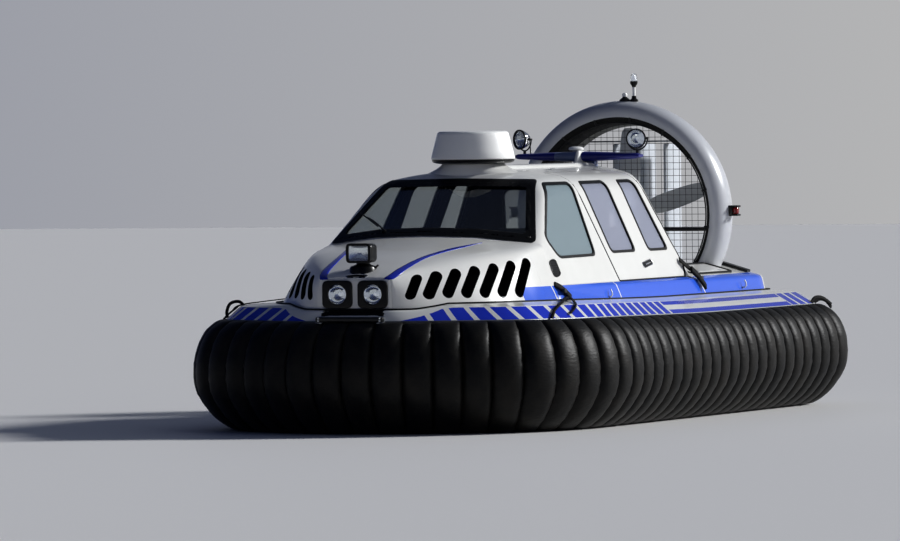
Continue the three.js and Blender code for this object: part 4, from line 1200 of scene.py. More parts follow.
def new_tree(name, **sizes):
    """An empty geometry tree with a mesh in and out, named sizes and a material."""
    tree = bpy.data.node_groups.new(name, "GeometryNodeTree")
    tree.interface.new_socket("Geometry", in_out="INPUT", socket_type="NodeSocketGeometry")
    for key, value in sizes.items():
        kind = "NodeSocketInt" if isinstance(value, int) else "NodeSocketFloat"
        tree.interface.new_socket(key, in_out="INPUT", socket_type=kind).default_value = value
    tree.interface.new_socket("Material", in_out="INPUT", socket_type="NodeSocketMaterial")
    tree.interface.new_socket("Geometry", in_out="OUTPUT", socket_type="NodeSocketGeometry")
    return tree, tree.nodes.new("NodeGroupInput"), tree.nodes.new("NodeGroupOutput")


def finish_tree(tree, entry, out, geometry):
    """Ends a tree with its instances made real, smooth shading and the material set."""
    real = add(tree, "GeometryNodeRealizeInstances", links={0: geometry})
    smooth = add(tree, "GeometryNodeSetShadeSmooth", links={0: real.outputs[0]})
    dressed = add(tree, "GeometryNodeSetMaterial",
                  links={0: smooth.outputs[0], "Material": entry.outputs["Material"]})
    tree.links.new(dressed.outputs[0], out.inputs[0])
    return tree


def tube_tree():
    """Round bar along the edges it is given, with closed ends."""
    tree, entry, out = new_tree("bar_along_edges", Radius=0.004, Sides=8)
    curve = add(tree, "GeometryNodeMeshToCurve", links={0: entry.outputs[0]})
    ring = add(tree, "GeometryNodeCurvePrimitiveCircle",
               links={"Radius": entry.outputs["Radius"], "Resolution": entry.outputs["Sides"]})
    bar = add(tree, "GeometryNodeCurveToMesh", {"Fill Caps": True},
              {"Curve": curve.outputs[0], "Profile Curve": ring.outputs[0]})
    return finish_tree(tree, entry, out, bar.outputs[0])


bar_tree = tube_tree()


def bars(name, lines, radius, material, body="craft", sides=8, node=None):
    """Round bars along several lines of points."""
    points, edges = [], []
    for line in lines:
        closed = np.allclose(line[0], line[-1])
        start = len(points)
        line = list(line)[:-1] if closed else list(line)
        points += line
        edges += [(start + i, start + i + 1) for i in range(len(line) - 1)]
        if closed:
            edges.append((start + len(line) - 1, start))
    made = grow(name, bar_tree, points, edges, {"Radius": radius, "Sides": sides}, material)
    return fit(made, body, node)


# Powder-coated steel: dull black with a fine orange peel.
powder = grained("black_powder_coated_steel", "#101113", 0.45, speckle, 250.0, 0.25, 0.001)
GUARD_X = -2.49
GUARD_RADIUS = 0.745
WIRE_PITCH = 0.052
wires = []
for k in range(-13, 14):
    offset = k * WIRE_PITCH
    half = math.sqrt(GUARD_RADIUS ** 2 - offset ** 2)
    wires.append([(GUARD_X - 0.004, -half, DUCT_Z + offset), (GUARD_X - 0.004, half, DUCT_Z + offset)])
    wires.append([(GUARD_X - 0.008, offset, DUCT_Z - half), (GUARD_X - 0.008, offset, DUCT_Z + half)])
bars("guard_wires", wires, 0.0019, powder, sides=5, node="duct_guard")
circle = [(GUARD_X - 0.006, GUARD_RADIUS * math.cos(a), DUCT_Z + GUARD_RADIUS * math.sin(a))
          for a in np.linspace(0, 2 * math.pi, 121)]
bars("guard_ring", [circle], 0.006, powder)


# The headlamps
# Two round lamps in black moulded bezels on the blunt front of the nose. Each has a polished
# reflector, a small bulb and a clear domed glass.
def soft_box(name, low, high, radius, material, body="craft", steps=3, node=None):
    """A block with its edges rounded."""
    work = bmesh.new()
    bmesh.ops.create_cube(work, size=1.0)
    for vertex in work.verts:
        for axis in range(3):
            vertex.co[axis] = (low[axis] + high[axis]) / 2 + vertex.co[axis] * (high[axis] - low[axis])
    bmesh.ops.bevel(work, geom=work.edges[:], offset=radius, segments=steps, profile=0.5, affect="EDGES")
    mesh = bpy.data.meshes.new(name)
    work.to_mesh(mesh)
    work.free()
    mesh.materials.append(material)
    mesh.shade_smooth()
    mesh.set_sharp_from_angle(angle=math.radians(50))
    made = bpy.data.objects.new(name, mesh)
    bpy.context.scene.collection.objects.link(made)
    return fit(made, body, node)


def painted(made, material, body="craft", sharp=math.radians(35), node=None):
    """Gives a piece made by cutting its one material, its shading and its body."""
    made.data.materials.clear()
    made.data.materials.append(material)
    made.data.shade_smooth()
    made.data.set_sharp_from_angle(angle=sharp)
    return fit(made, body, node)


def rectangle(centre_y, centre_z, half_y, half_z):
    """The corners of an upright rectangle in Y and Z."""
    corners = ((-1, -1), (1, -1), (1, 1), (-1, 1))
    return [(centre_y + a * half_y, centre_z + b * half_z) for a, b in corners]


# Moulded black plastic: satin, with a fine grain.
plastic = grained("black_moulded_plastic", "#050506", 0.3, speckle, 400.0, 0.2, 0.0006,
                  Specular_IOR_Level=0.3)
chrome = new_material("polished_chrome", "#f0f1f2", 0.07, Metallic=1.0)[0]
clear_glass = new_material("clear_lamp_glass", "#f4f7f8", 0.02, Transmission_Weight=1.0, IOR=1.5)[0]
bulb_glass = new_material("bulb_capsule", "#ffffff", 0.1, Emission_Strength=0.3,
                          Emission_Color=linear("#eef3ff"))[0]
for side, hand in SIDES:
    lamp_centre = (0, LAMP_Y * hand, LAMP_Z)
    square = rectangle(LAMP_Y * hand, LAMP_Z, 0.121, 0.105)
    bezel = prism("headlamp_bezel_" + side, square, 0.048, 2.9985, 3.020, "x")
    work = bmesh.new()
    work.from_mesh(bezel.data)
    rim = [edge for edge in work.edges
           if all(v.co.x > 3.0195 for v in edge.verts) and edge.calc_face_angle(0) > 1]
    bmesh.ops.bevel(work, geom=rim, offset=0.008, segments=3, profile=0.6, affect="EDGES")
    work.to_mesh(bezel.data)
    work.free()
    mouth = [(2.9, 0), (2.9, 0.079), (3.000, 0.079), (3.004, 0.073), (3.018, 0.075), (3.03, 0.088),
             (3.03, 0)]
    painted(carve(bezel, [lathe("hole", mouth, lamp_centre)], "DIFFERENCE"), plastic)
    bowl = [(2.999, 0.078), (2.975, 0.069), (2.955, 0.055), (2.940, 0.036), (2.935, 0.016),
            (2.931, 0.016), (2.925, 0.040), (2.931, 0.078), (2.960, 0.083), (2.9985, 0.084)]
    lathe("headlamp_reflector_" + side, bowl, lamp_centre, segments=64, material=chrome, closed=True,
          slot="lamp_chrome", node="headlight_" + side)
    bulb = [(2.926, 0), (2.926, 0.014), (2.950, 0.014), (2.952, 0.008), (2.975, 0.008), (2.981, 0.004),
            (2.983, 0)]
    lathe("headlamp_bulb_" + side, bulb, lamp_centre, segments=24, material=bulb_glass, slot="lamp_chrome")
    dome = [(3.003, 0), (3.003, 0.072), (3.007, 0.0725), (3.0125, 0.048), (3.0145, 0.02), (3.015, 0)]
    lathe("headlamp_glass_" + side, dome, lamp_centre, segments=64, material=clear_glass,
          slot="tinted_glass")


# The hood spotlight
# A square black working lamp on a turned foot, its lever on the port side.
SPOT_FOOT_X = 2.840
SPOT_Z = 1.3575
shell_low, shell_high = (2.782, -0.098, SPOT_Z - 0.072), (2.930, 0.098, SPOT_Z + 0.072)
spot_shell = soft_box("spotlight_shell", shell_low, shell_high, 0.034, plastic, steps=5)
shell_mouth = prism("mouth", rectangle(0, SPOT_Z, 0.080, 0.057), 0.02, 2.905, 2.95, "x")
painted(carve(spot_shell, [shell_mouth], "DIFFERENCE"), plastic, node="hood_spotlight")
spot_rim = prism("spotlight_rim", rectangle(0, SPOT_Z, 0.1, 0.074), 0.036, 2.924, 2.940, "x")
rim_mouth = prism("mouth", rectangle(0, SPOT_Z, 0.080, 0.058), 0.018, 2.9, 2.95, "x")
painted(carve(spot_rim, [rim_mouth], "DIFFERENCE"), plastic)


def dish(name, x_rim, x_floor, half_y, half_z, centre_z):
    """A rectangular lamp reflector, curved both ways, with a closed back."""
    rings = []
    for share in (1.0, 0.96, 0.85, 0.68, 0.45, 0.2):
        x = x_floor + (x_rim - x_floor) * share ** 2.2
        square = rectangle(0, centre_z, half_y * share, half_z * share)
        rings.append([(x, y, z) for y, z in rounded_outline(square, 0.017 * share + 0.002)])
    back = [[(x_floor - 0.002, y, z) for _, y, z in rings[0]]]
    return painted(loft(name, back + rings), chrome)


dish("spotlight_reflector", 2.926, 2.9065, 0.079, 0.0565, SPOT_Z)
lens_outline = rectangle(0, SPOT_Z, 0.079, 0.0565)
painted(prism("spotlight_glass", lens_outline, 0.016, 2.929, 2.933, "x"), clear_glass)
foot = [(1.200, 0), (1.200, 0.106), (1.246, 0.103), (1.258, 0.094), (1.267, 0.066), (1.275, 0.052),
        (1.292, 0.050), (1.292, 0)]
lathe("spotlight_foot", foot, (SPOT_FOOT_X, 0, 0), (0, 0, 1), 48, plastic, slot="black_trim")
lever = [(SPOT_FOOT_X, 0.045, 1.246), (SPOT_FOOT_X, 0.098, 1.250), (SPOT_FOOT_X, 0.122, 1.266)]
bars("spotlight_lever", [lever], 0.008, plastic)


# The bow fitting
# A black tow bar across the stem, on two bright steel brackets bolted to the hull's edge.
steel = new_material("brushed_stainless_steel", "#b9bcbe", 0.28, Metallic=1.0)[0]
soft_box("tow_bar_tube", (3.100, -0.275, 0.846), (3.134, 0.275, 0.884), 0.012, powder, node="tow_bar")
for side, y in (("port", 0.25), ("starboard", -0.25)):
    near, far = y - 0.026, y + 0.026
    soft_box("tow_bracket_" + side, (3.015, near, 0.834), (3.131, far, 0.842), 0.002, steel)
    soft_box("tow_cheek_" + side, (3.092, near, 0.834), (3.1, far, 0.888), 0.002, steel)
bolt_places = [(y, z) for y in (0.25, -0.25) for z in (0.856, 0.874)]
head = [(3.128, 0), (3.128, 0.008), (3.1345, 0.008), (3.1345, 0.0055), (3.1375, 0.0045), (3.139, 0)]
for number, (y, z) in enumerate(bolt_places):
    lathe(f"tow_bolt_{number}", head, (0, y, z), segments=12, material=steel, slot="alloy")


# The propeller and its frame
# A black steel column and crossbar carry the bearing. The five blades are moulded in pale
# grey composite and bolted to a turned alloy hub.
PROP_X = -2.710
soft_box("prop_column", (-2.615, -0.045, 0.98), (-2.567, 0.045, 1.50), 0.008, powder, node="prop_frame")
for side, hand in SIDES:
    crossbar = [(-2.585, hand * 0.04, 1.43), (-2.585, hand * 0.779, 1.43)]
    brace = [(-2.583, hand * 0.035, 1.20), (-2.583, hand * 0.5, 0.988)]
    bars("crossbar_" + side, [crossbar], 0.015, powder, sides=16)
    bars("brace_" + side, [brace], 0.013, powder, sides=12)
bearing = [(-2.637, 0), (-2.637, 0.060), (-2.632, 0.075), (-2.562, 0.075), (-2.556, 0.068), (-2.556, 0.030),
           (-2.548, 0.024), (-2.548, 0)]
lathe("bearing_house", bearing, (0, 0, DUCT_Z), segments=48, material=powder, slot="black_trim")

BLADE_SECTIONS = (
    # radius, chord, thickness, pitch in degrees
    (0.060, 0.085, 0.040, 55),
    (0.120, 0.110, 0.030, 50),
    (0.200, 0.155, 0.022, 43),
    (0.300, 0.172, 0.018, 36),
    (0.420, 0.166, 0.0145, 29.5),
    (0.560, 0.150, 0.012, 24),
    (0.660, 0.118, 0.009, 20.5),
    (0.688, 0.085, 0.007, 20),
    (0.698, 0.045, 0.005, 20),
)


def blade_solid(name, turn):
    """One twisted blade, turned about the shaft to its place."""
    rings = []
    for radius, chord, thick, pitch in spline(BLADE_SECTIONS, 3):
        pitch = math.radians(pitch)
        ring = []
        for k in range(28):
            a = 2 * math.pi * k / 28
            along = 0.5 * math.cos(a)
            bulge = (1 - (2 * along) ** 2) ** 0.5 * (1.0 - 0.55 * along) * 0.5
            u = chord * (along + 0.05)
            w = thick * bulge * (1 if a <= math.pi else -0.45) + 0.012 * chord
            x = -u * math.sin(pitch) + w * math.cos(pitch)
            t = u * math.cos(pitch) + w * math.sin(pitch)
            y = t * math.cos(turn) + radius * math.sin(turn)
            z = -t * math.sin(turn) + radius * math.cos(turn)
            ring.append((PROP_X + x, y, DUCT_Z + z))
        rings.append(ring)
    return loft(name, rings)


def composite():
    """Moulded composite blade: pale grey with faint fibre marks and a satin gloss."""
    material, tree, shader = new_material("composite_blade", "#d9dbde", 0.32)
    tree.links.new(mix(tree, speckle(tree, 60.0, 4.0), "#b4b8bb", "#cbced1"), shader.inputs["Base Color"])
    return material


blade_material = composite()
alloy = new_material("turned_alloy", "#a9adb1", 0.3, Metallic=1.0)[0]
for number in range(5):
    blade = blade_solid(f"blade_{number + 1}", 2 * math.pi * number / 5)
    painted(blade, blade_material, "propeller", sharp=math.radians(60), node=None if number else "propeller")
hub = [(-2.742, 0), (-2.742, 0.070), (-2.737, 0.078), (-2.684, 0.078), (-2.678, 0.070), (-2.655, 0.055),
       (-2.645, 0.035), (-2.640, 0)]
lathe("prop_hub", hub, (0, 0, DUCT_Z), segments=64, material=alloy, slot="alloy", body="propeller")
nut = [(-2.748, 0), (-2.748, 0.006), (-2.746, 0.007), (-2.741, 0.007), (-2.741, 0)]
for number in range(10):
    a = 2 * math.pi * (number + 0.5) / 10
    centre = (0, 0.055 * math.sin(a), DUCT_Z + 0.055 * math.cos(a))
    lathe(f"hub_bolt_{number + 1}", nut, centre, segments=6, material=steel, slot="alloy", body="propeller")


# The rudders
# Three tall vanes behind the propeller, hung between two rails across the duct. Each is a
# foam core in white glass-fibre on a steel post, its white greyed and tinted blue as painted shade.
VANE_LEVELS = (
    # height, how far the section is drawn in
    (1.122, 0.012), (1.128, 0.003), (1.150, 0.0), (1.550, 0.0), (2.095, 0.0), (2.117, 0.003), (2.123, 0.012),
)
VANE_FRONT = -2.950
VANE_CHORD = 0.375
VANE_THICKNESS = 0.145 * VANE_CHORD
# The rudders' white is greyed and tinted blue, painted shade.
rudder_gelcoat_painted_shade = new_material("gelcoat_of_the_rudders_greyed_as_painted_shade", "#c9ced4", 0.3, Coat_Weight=0.2)[0]
for number, y in ((1, -0.22), (2, 0.0), (3, 0.22)):
    vane_rings = []
    for z, short in VANE_LEVELS:
        ring = []
        chord = VANE_CHORD - 2 * short
        for k in range(40):
            a = 2 * math.pi * k / 40
            t = 0.5 - 0.5 * math.cos(a)
            form = 2.969 * math.sqrt(t) - 1.26 * t - 3.516 * t * t + 2.843 * t ** 3 - 1.015 * t ** 4
            half = max(VANE_THICKNESS * form * 0.5 - short * 0.5, 0.0008)
            ring.append((VANE_FRONT - short - chord * t, y + half * (1 if a <= math.pi else -1), z))
        vane_rings.append(ring)
    painted(loft(f"rudder_vane_{number}", vane_rings), rudder_gelcoat_painted_shade, f"rudder_{number}",
            math.radians(60), f"rudder_{number}")
for name, half_y, low, high, node in (("upper", 0.49, 2.135, 2.147, "rudder_rail_top"),
                                      ("lower", 0.62, 1.098, 1.110, "rudder_rail_low")):
    soft_box("rudder_rail_" + name, (-3.024, -half_y, low), (-2.902, half_y, high), 0.003, alloy,
             node=node)


# The radar
# A white radome, narrower at its top, on a black foot. It stands on a mound moulded into the
# roof that spreads out over the windscreen and towards both sides.
RADAR_X = 0.63
MOUND = (
    # height, half width, reach ahead, reach behind
    (1.860, 0.500, 0.262, 0.560),
    (1.905, 0.430, 0.260, 0.470),
    (1.935, 0.355, 0.258, 0.375),
    (1.960, 0.300, 0.254, 0.310),
    (1.982, 0.264, 0.249, 0.266),
    (1.995, 0.248, 0.245, 0.248),
    (2.003, 0.238, 0.238, 0.238),
)


def mound_solid(name):
    """The mound through ovals that reach further behind the dome than ahead of it."""
    rings = []
    for height, half_y, ahead_x, behind_x in spline(MOUND, 4):
        turn = np.linspace(0, 2 * math.pi, 96, endpoint=False)
        x = RADAR_X + np.where(np.cos(turn) > 0, ahead_x, behind_x) * np.cos(turn)
        rings.append(np.column_stack([x, half_y * np.sin(turn), np.full(96, height)]))
    return loft(name, rings)


painted(mound_solid("radar_pedestal_moulding"), body_gelcoat, sharp=math.radians(50),
        node="radar_pedestal")
radome_white = new_material("radome_plastic", "#f4f4f1", 0.35)[0]
DOME = [(2.036, 0), (2.036, 0.319), (2.040, 0.3245), (2.050, 0.3255), (2.110, 0.3105), (2.180, 0.2925),
        (2.228, 0.280), (2.242, 0.2745), (2.251, 0.264), (2.2555, 0.245), (2.257, 0.180), (2.257, 0)]
lathe("radome", DOME, (RADAR_X, 0, 0), (0, 0, 1), 128, radome_white, math.radians(60), slot="gelcoat",
      node="radar_dome")
BASE = [(2.001, 0), (2.001, 0.242), (2.006, 0.286), (2.014, 0.310), (2.024, 0.3195), (2.0365, 0.3205),
        (2.0365, 0)]
lathe("radome_base", BASE, (RADAR_X, 0, 0), (0, 0, 1), 96, plastic, math.radians(40), slot="black_trim")


# The roof bar
# A navy wing across the back of the roof, thickest at its white fin, where a panel of it is
# grey. A receiver dome stands on the fin and a searchlight at each end.
BAR_X = -1.600
BAR_Z = 2.0303
BAR_HALF = 0.535
GREY_PANEL = (-0.178, 0.010)


def wing(name, steps=40):
    """The bar through rounded sections, thinner and shorter towards its ends."""
    rings = []
    for y in sorted([*np.linspace(-BAR_HALF, BAR_HALF, steps + 1), *GREY_PANEL]):
        share = abs(y) / BAR_HALF
        end = max(0.0, (abs(y) - 0.515) / 0.02)
        half = (0.044 - 0.023 * share) * (1 - 0.5 * end ** 2)
        chord = (0.090 - 0.027 * share) * (1 - 0.12 * end ** 2)
        middle = BAR_Z + 0.001 + 0.004 * share
        ring = []
        for k in range(32):
            a = 2 * math.pi * k / 32
            x = BAR_X + chord * math.copysign(abs(math.cos(a)) ** 0.8, math.cos(a))
            ring.append((x, y, middle + half * math.copysign(abs(math.sin(a)) ** 0.62, math.sin(a))))
        rings.append(ring)
    return painted(loft(name, rings), navy, "craft", math.radians(40), "light_bar")


navy = new_material("navy_gelcoat", "#141c78", 0.3, Coat_Weight=0.2)[0]
bar_grey = new_material("blue_grey_gelcoat", "#5f6c90", 0.35, Coat_Weight=0.2)[0]
bar = wing("roof_bar")
bar.data.materials.append(bar_grey)
for face in bar.data.polygons:
    face.material_index = int(GREY_PANEL[0] < face.center.y < GREY_PANEL[1])
FIN = (
    # height, front x, back x, half thickness; it stands a little to port
    (1.955, -1.424, -1.735, 0.056),
    (1.975, -1.440, -1.728, 0.042),
    (2.000, -1.462, -1.720, 0.034),
    (2.060, -1.488, -1.712, 0.031),
    (2.076, -1.500, -1.700, 0.026),
    (2.082, -1.530, -1.680, 0.012),
)
FIN_Y = 0.030


def fin_solid(name):
    """The fin through ovals, thickest at its foot."""
    rings = []
    turn = np.linspace(0, 2 * math.pi, 32, endpoint=False)
    for z, front, back, half in FIN:
        x = (front + back) / 2 + (front - back) / 2 * np.cos(turn)
        y = FIN_Y + half * np.copysign(np.abs(np.sin(turn)) ** 0.8, np.sin(turn))
        rings.append(np.column_stack([x, y, np.full(32, z)]))
    return loft(name, rings)


painted(fin_solid("roof_fin_moulding"), body_gelcoat, node="roof_fin")
MUSHROOM = [(2.066, 0), (2.066, 0.024), (2.078, 0.026), (2.083, 0.050), (2.088, 0.060), (2.095, 0.062),
            (2.106, 0.054), (2.112, 0.034), (2.114, 0)]
lathe("receiver_dome", MUSHROOM, (-1.600, -0.020, 0), (0, 0, 1), 64, radome_white, math.radians(40),
      slot="gelcoat")
soft_box("bar_rest", (-1.640, 0.083, 1.935), (-1.560, 0.150, 1.996), 0.006, bar_grey)


def searchlight(name, y, turn, node):
    """A chrome lamp on a bracket at the end of the bar, turned a little about its stem."""
    facing = Vector((math.cos(turn), math.sin(turn), 0))
    centre = Vector((BAR_X, y, 2.172))
    shell = [(-0.062, 0), (-0.062, 0.018), (-0.056, 0.034), (-0.030, 0.060), (0.006, 0.074),
             (0.018, 0.0775), (0.030, 0.078), (0.034, 0.074), (0.034, 0.069), (0.028, 0.068),
             (0.006, 0.060), (-0.018, 0.040), (-0.030, 0.014), (-0.031, 0)]
    lathe(name + "_shell", shell, centre, facing, 64, chrome, slot="lamp_chrome", node=node)
    rim_form = [(0.027, 0.0765), (0.027, 0.081), (0.037, 0.081), (0.039, 0.076), (0.037, 0.070),
                (0.033, 0.070)]
    lathe(name + "_rim", rim_form, centre, facing, 64, plastic, closed=True, slot="black_trim")
    glass_form = [(0.022, 0), (0.022, 0.068), (0.026, 0.068), (0.034, 0.045), (0.037, 0)]
    lathe(name + "_glass", glass_form, centre, facing, 48, clear_glass, slot="tinted_glass")
    bulb_form = [(-0.033, 0), (-0.033, 0.010), (-0.010, 0.007), (-0.006, 0)]
    lathe(name + "_bulb", bulb_form, centre, facing, 20, bulb_glass, slot="lamp_chrome")
    across = Vector((-facing.y, facing.x, 0))
    foot = centre - facing * 0.02
    hoop = [tuple(foot + across * 0.084 * math.cos(a) + Vector((0, 0, 0.090 * math.sin(a))))
            for a in np.linspace(0, -math.pi, 19)]
    bars(name + "_bracket", [hoop], 0.006, powder)
    ends = [[tuple(foot + across * s * reach) for reach in (0.060, 0.090)] for s in (1, -1)]
    bars(name + "_pins", ends, 0.009, powder, sides=10)
    bars(name + "_stem", [[(foot.x, foot.y, 2.040), (foot.x, foot.y, 2.084)]], 0.012, powder, sides=12)


searchlight("searchlight_lamp_port", 0.500, math.radians(10), "searchlight_port")
searchlight("searchlight_lamp_starboard", -0.480, math.radians(-30), "searchlight_starboard")
bars("searchlight_rod", [[(-1.620, -0.425, 2.150), (-1.620, -0.420, 2.060)]], 0.005, powder)


# The lights on the duct
# A white all-round light on a short mast with a small receiver beside it, and a red and a
# green side light in black housings.
MAST = (-2.600, 0.095)
MAST_FORMS = (
    ("foot", "plastic",
     [(2.466, 0), (2.466, 0.034), (2.480, 0.034), (2.490, 0.020), (2.512, 0.018), (2.512, 0)]),
    ("stem", "white", [(2.510, 0), (2.510, 0.0125), (2.586, 0.0125), (2.586, 0)]),
    ("cup", "plastic",
     [(2.582, 0), (2.582, 0.014), (2.592, 0.017), (2.612, 0.030), (2.628, 0.031), (2.631, 0.028),
      (2.631, 0)]),
    ("lens", "glass",
     [(2.630, 0), (2.630, 0.0275), (2.668, 0.0265), (2.685, 0.020), (2.6925, 0.009), (2.694, 0)]),
    ("lamp", "bulb", [(2.632, 0), (2.632, 0.013), (2.668, 0.013), (2.678, 0.007), (2.680, 0)]),
)
MAST_FINISH = {"plastic": (plastic, "black_trim"), "white": (radome_white, "gelcoat"),
               "glass": (clear_glass, "tinted_glass"), "bulb": (bulb_glass, "lamp_chrome")}
for part, finish, form in MAST_FORMS:
    material, slot = MAST_FINISH[finish]
    lathe("mast_light_" + part, form, MAST + (0,), (0, 0, 1), 32, material, slot=slot,
          node="mast_light" if part == "stem" else None)
RECEIVER = [(2.466, 0), (2.466, 0.044), (2.480, 0.044), (2.492, 0.030), (2.500, 0.019), (2.507, 0.019),
            (2.507, 0)]
RECEIVER_TOP = [(2.506, 0), (2.506, 0.021), (2.524, 0.021), (2.535, 0.014), (2.539, 0)]
RECEIVER_PLACE = (-2.600, 0.015, 0)
lathe("duct_receiver", RECEIVER, RECEIVER_PLACE, (0, 0, 1), 32, plastic, slot="black_trim")
lathe("duct_receiver_top", RECEIVER_TOP, RECEIVER_PLACE, (0, 0, 1), 32, radome_white, slot="gelcoat")
red_lens = new_material("red_lamp_glass", "#8a1015", 0.12, Transmission_Weight=0.2, Coat_Weight=0.3)[0]
green_lens = new_material("green_lamp_glass", "#0d6b2c", 0.12, Transmission_Weight=0.2, Coat_Weight=0.3)[0]
SIDE_LIGHT = (
    # part, inner y, outer y, low, high
    ("back", 0.900, 0.948, 1.535, 1.620),
    ("cap", 0.946, 0.992, 1.604, 1.620),
    ("shelf", 0.946, 0.992, 1.535, 1.550),
)
for side, hand, material, slot in (("port", 1, red_lens, "red_lens"),
                                   ("starboard", -1, green_lens, "green_lens")):
    for part, inner, outer, low, high in SIDE_LIGHT:
        ys = sorted((hand * inner, hand * outer))
        soft_box(f"side_light_{part}_{side}", (-2.640, ys[0], low), (-2.560, ys[1], high), 0.005, plastic)
    ys = sorted((hand * 0.942, hand * 0.986))
    soft_box("side_light_lens_" + side, (-2.632, ys[0], 1.547), (-2.568, ys[1], 1.607), 0.018, material,
             steps=5, node="nav_light_" + side)


# The dashboard
# A vinyl-covered glass-fibre shelf across the cabin on a centre stand, with five round gauges
# and a row of rocker switches facing the driver.
def vinyl_cover(name, colour, scale):
    """Grained vinyl cover: dull, with a fine leather-like grain."""
    return grained(name, colour, 0.55, cells_of, scale, 0.35, 0.001)


dash_vinyl = vinyl_cover("black_dash_vinyl", "#090a0b", 500.0)
dash_outline = [(1.125, 1.100), (1.160, 1.285), (1.240, 1.335), (1.400, 1.345), (1.428, 1.335),
                (1.428, 1.100)]
painted(prism("dash_top", dash_outline, 0.022, -0.795, 0.795), dash_vinyl,
        sharp=math.radians(40), node="dashboard")
soft_box("dash_stand", (1.205, -0.215, 0.6205), (1.395, 0.215, 1.11), 0.02, dash_vinyl)
dial_white = new_material("printed_dial_face", "#101216", 0.4)[0]
# The red needles glow faintly of their own, which is painted light.
needle_red_painted_glow = new_material("red_needle_with_painted_glow", "#c8321e", 0.4, Emission_Strength=0.2,
                          Emission_Color=linear("#c8321e"))[0]
panel_face = Vector((-0.982, 0, 0.186)).normalized()
panel_up = Vector((0.186, 0, 0.982)).normalized()
GAUGES = ((-0.20, 0.034), (-0.10, 0.045), (0.0, 0.034), (0.10, 0.045), (0.20, 0.034))
for number, (y, radius) in enumerate(GAUGES):
    centre = Vector((1.146, y, 1.215))
    ring = [(-0.004, 0), (-0.004, radius), (0.010, radius), (0.012, radius - 0.003), (0.010, radius - 0.006),
            (0.005, radius - 0.007), (0.005, 0)]
    lathe(f"gauge_{number + 1}", ring, centre, panel_face, 40, plastic, slot="black_trim")
    face_ring = [(0.0045, 0), (0.0045, radius - 0.008), (0.006, radius - 0.008), (0.0062, 0)]
    lathe(f"gauge_face_{number + 1}", face_ring, centre, panel_face, 32, dial_white, slot="black_trim")
    pivot = centre + panel_face * 0.008
    tip = pivot + (panel_up * 0.8 + Vector((0, 0.5 if number % 2 else -0.5, 0))) * (radius - 0.014)
    bars(f"gauge_needle_{number + 1}", [[tuple(pivot), tuple(tip)]], 0.0011, needle_red_painted_glow, sides=5)
for number in range(8):
    y = -0.62 + 0.05 * number
    soft_box(f"rocker_switch_{number + 1}", (1.128, y - 0.011, 1.205), (1.146, y + 0.011, 1.240), 0.003,
             plastic)


# The steering wheel
# A thick foam rim on three dark spokes, on a short column that comes out of the dashboard.
WHEEL_PLACE = Vector((1.010, 0, 1.230))
WHEEL_RADIUS = 0.170
rake = math.radians(28)
wheel_axis = Vector((-math.cos(rake), 0, math.sin(rake)))
wheel_up = Vector((math.sin(rake), 0, math.cos(rake)))
wheel_across = Vector((0, 1, 0))
rim = [tuple(WHEEL_PLACE + wheel_across * WHEEL_RADIUS * math.cos(a) + wheel_up * WHEEL_RADIUS * math.sin(a))
       for a in np.linspace(0, 2 * math.pi, 97)]
# Moulded foam grip: black, dull and grained.
foam_rim = vinyl_cover("foam_grip", "#0d0d0e", 900.0)
bars("wheel_rim", [rim], 0.0125, foam_rim, "steering_wheel", 16, "steering_wheel")
spokes = []
for turn in (90, 210, 330):
    a = math.radians(turn)
    outward = wheel_across * math.cos(a) + wheel_up * math.sin(a)
    spokes.append([tuple(WHEEL_PLACE + outward * reach - wheel_axis * sunk)
                   for reach, sunk in ((0.02, 0.014), (0.09, 0.01), (0.164, 0))])
bars("wheel_spokes", spokes, 0.008, powder, "steering_wheel", 10)
boss = [(-0.040, 0), (-0.040, 0.022), (-0.016, 0.036), (0.004, 0.038), (0.010, 0.030), (0.012, 0)]
lathe("wheel_boss", boss, WHEEL_PLACE, wheel_axis, 48, plastic, slot="black_trim", body="steering_wheel")
column_form = [(-0.2, 0), (-0.2, 0.030), (-0.150, 0.030), (-0.145, 0.026), (-0.050, 0.024), (-0.0405, 0.020),
               (-0.0405, 0)]
lathe("wheel_column", column_form, WHEEL_PLACE, wheel_axis, 40, plastic, slot="black_trim",
      node="steering_column")


# The seats
# A single seat for the driver and two benches behind. Each has a moulded base and two padded
# cushions in dark grey vinyl, sewn in channels and blown up by their foam.
seat_vinyl = vinyl_cover("grey_seat_vinyl", "#131518", 420.0)
base_plastic = new_material("seat_base_gelcoat", "#4c4f54", 0.45)[0]


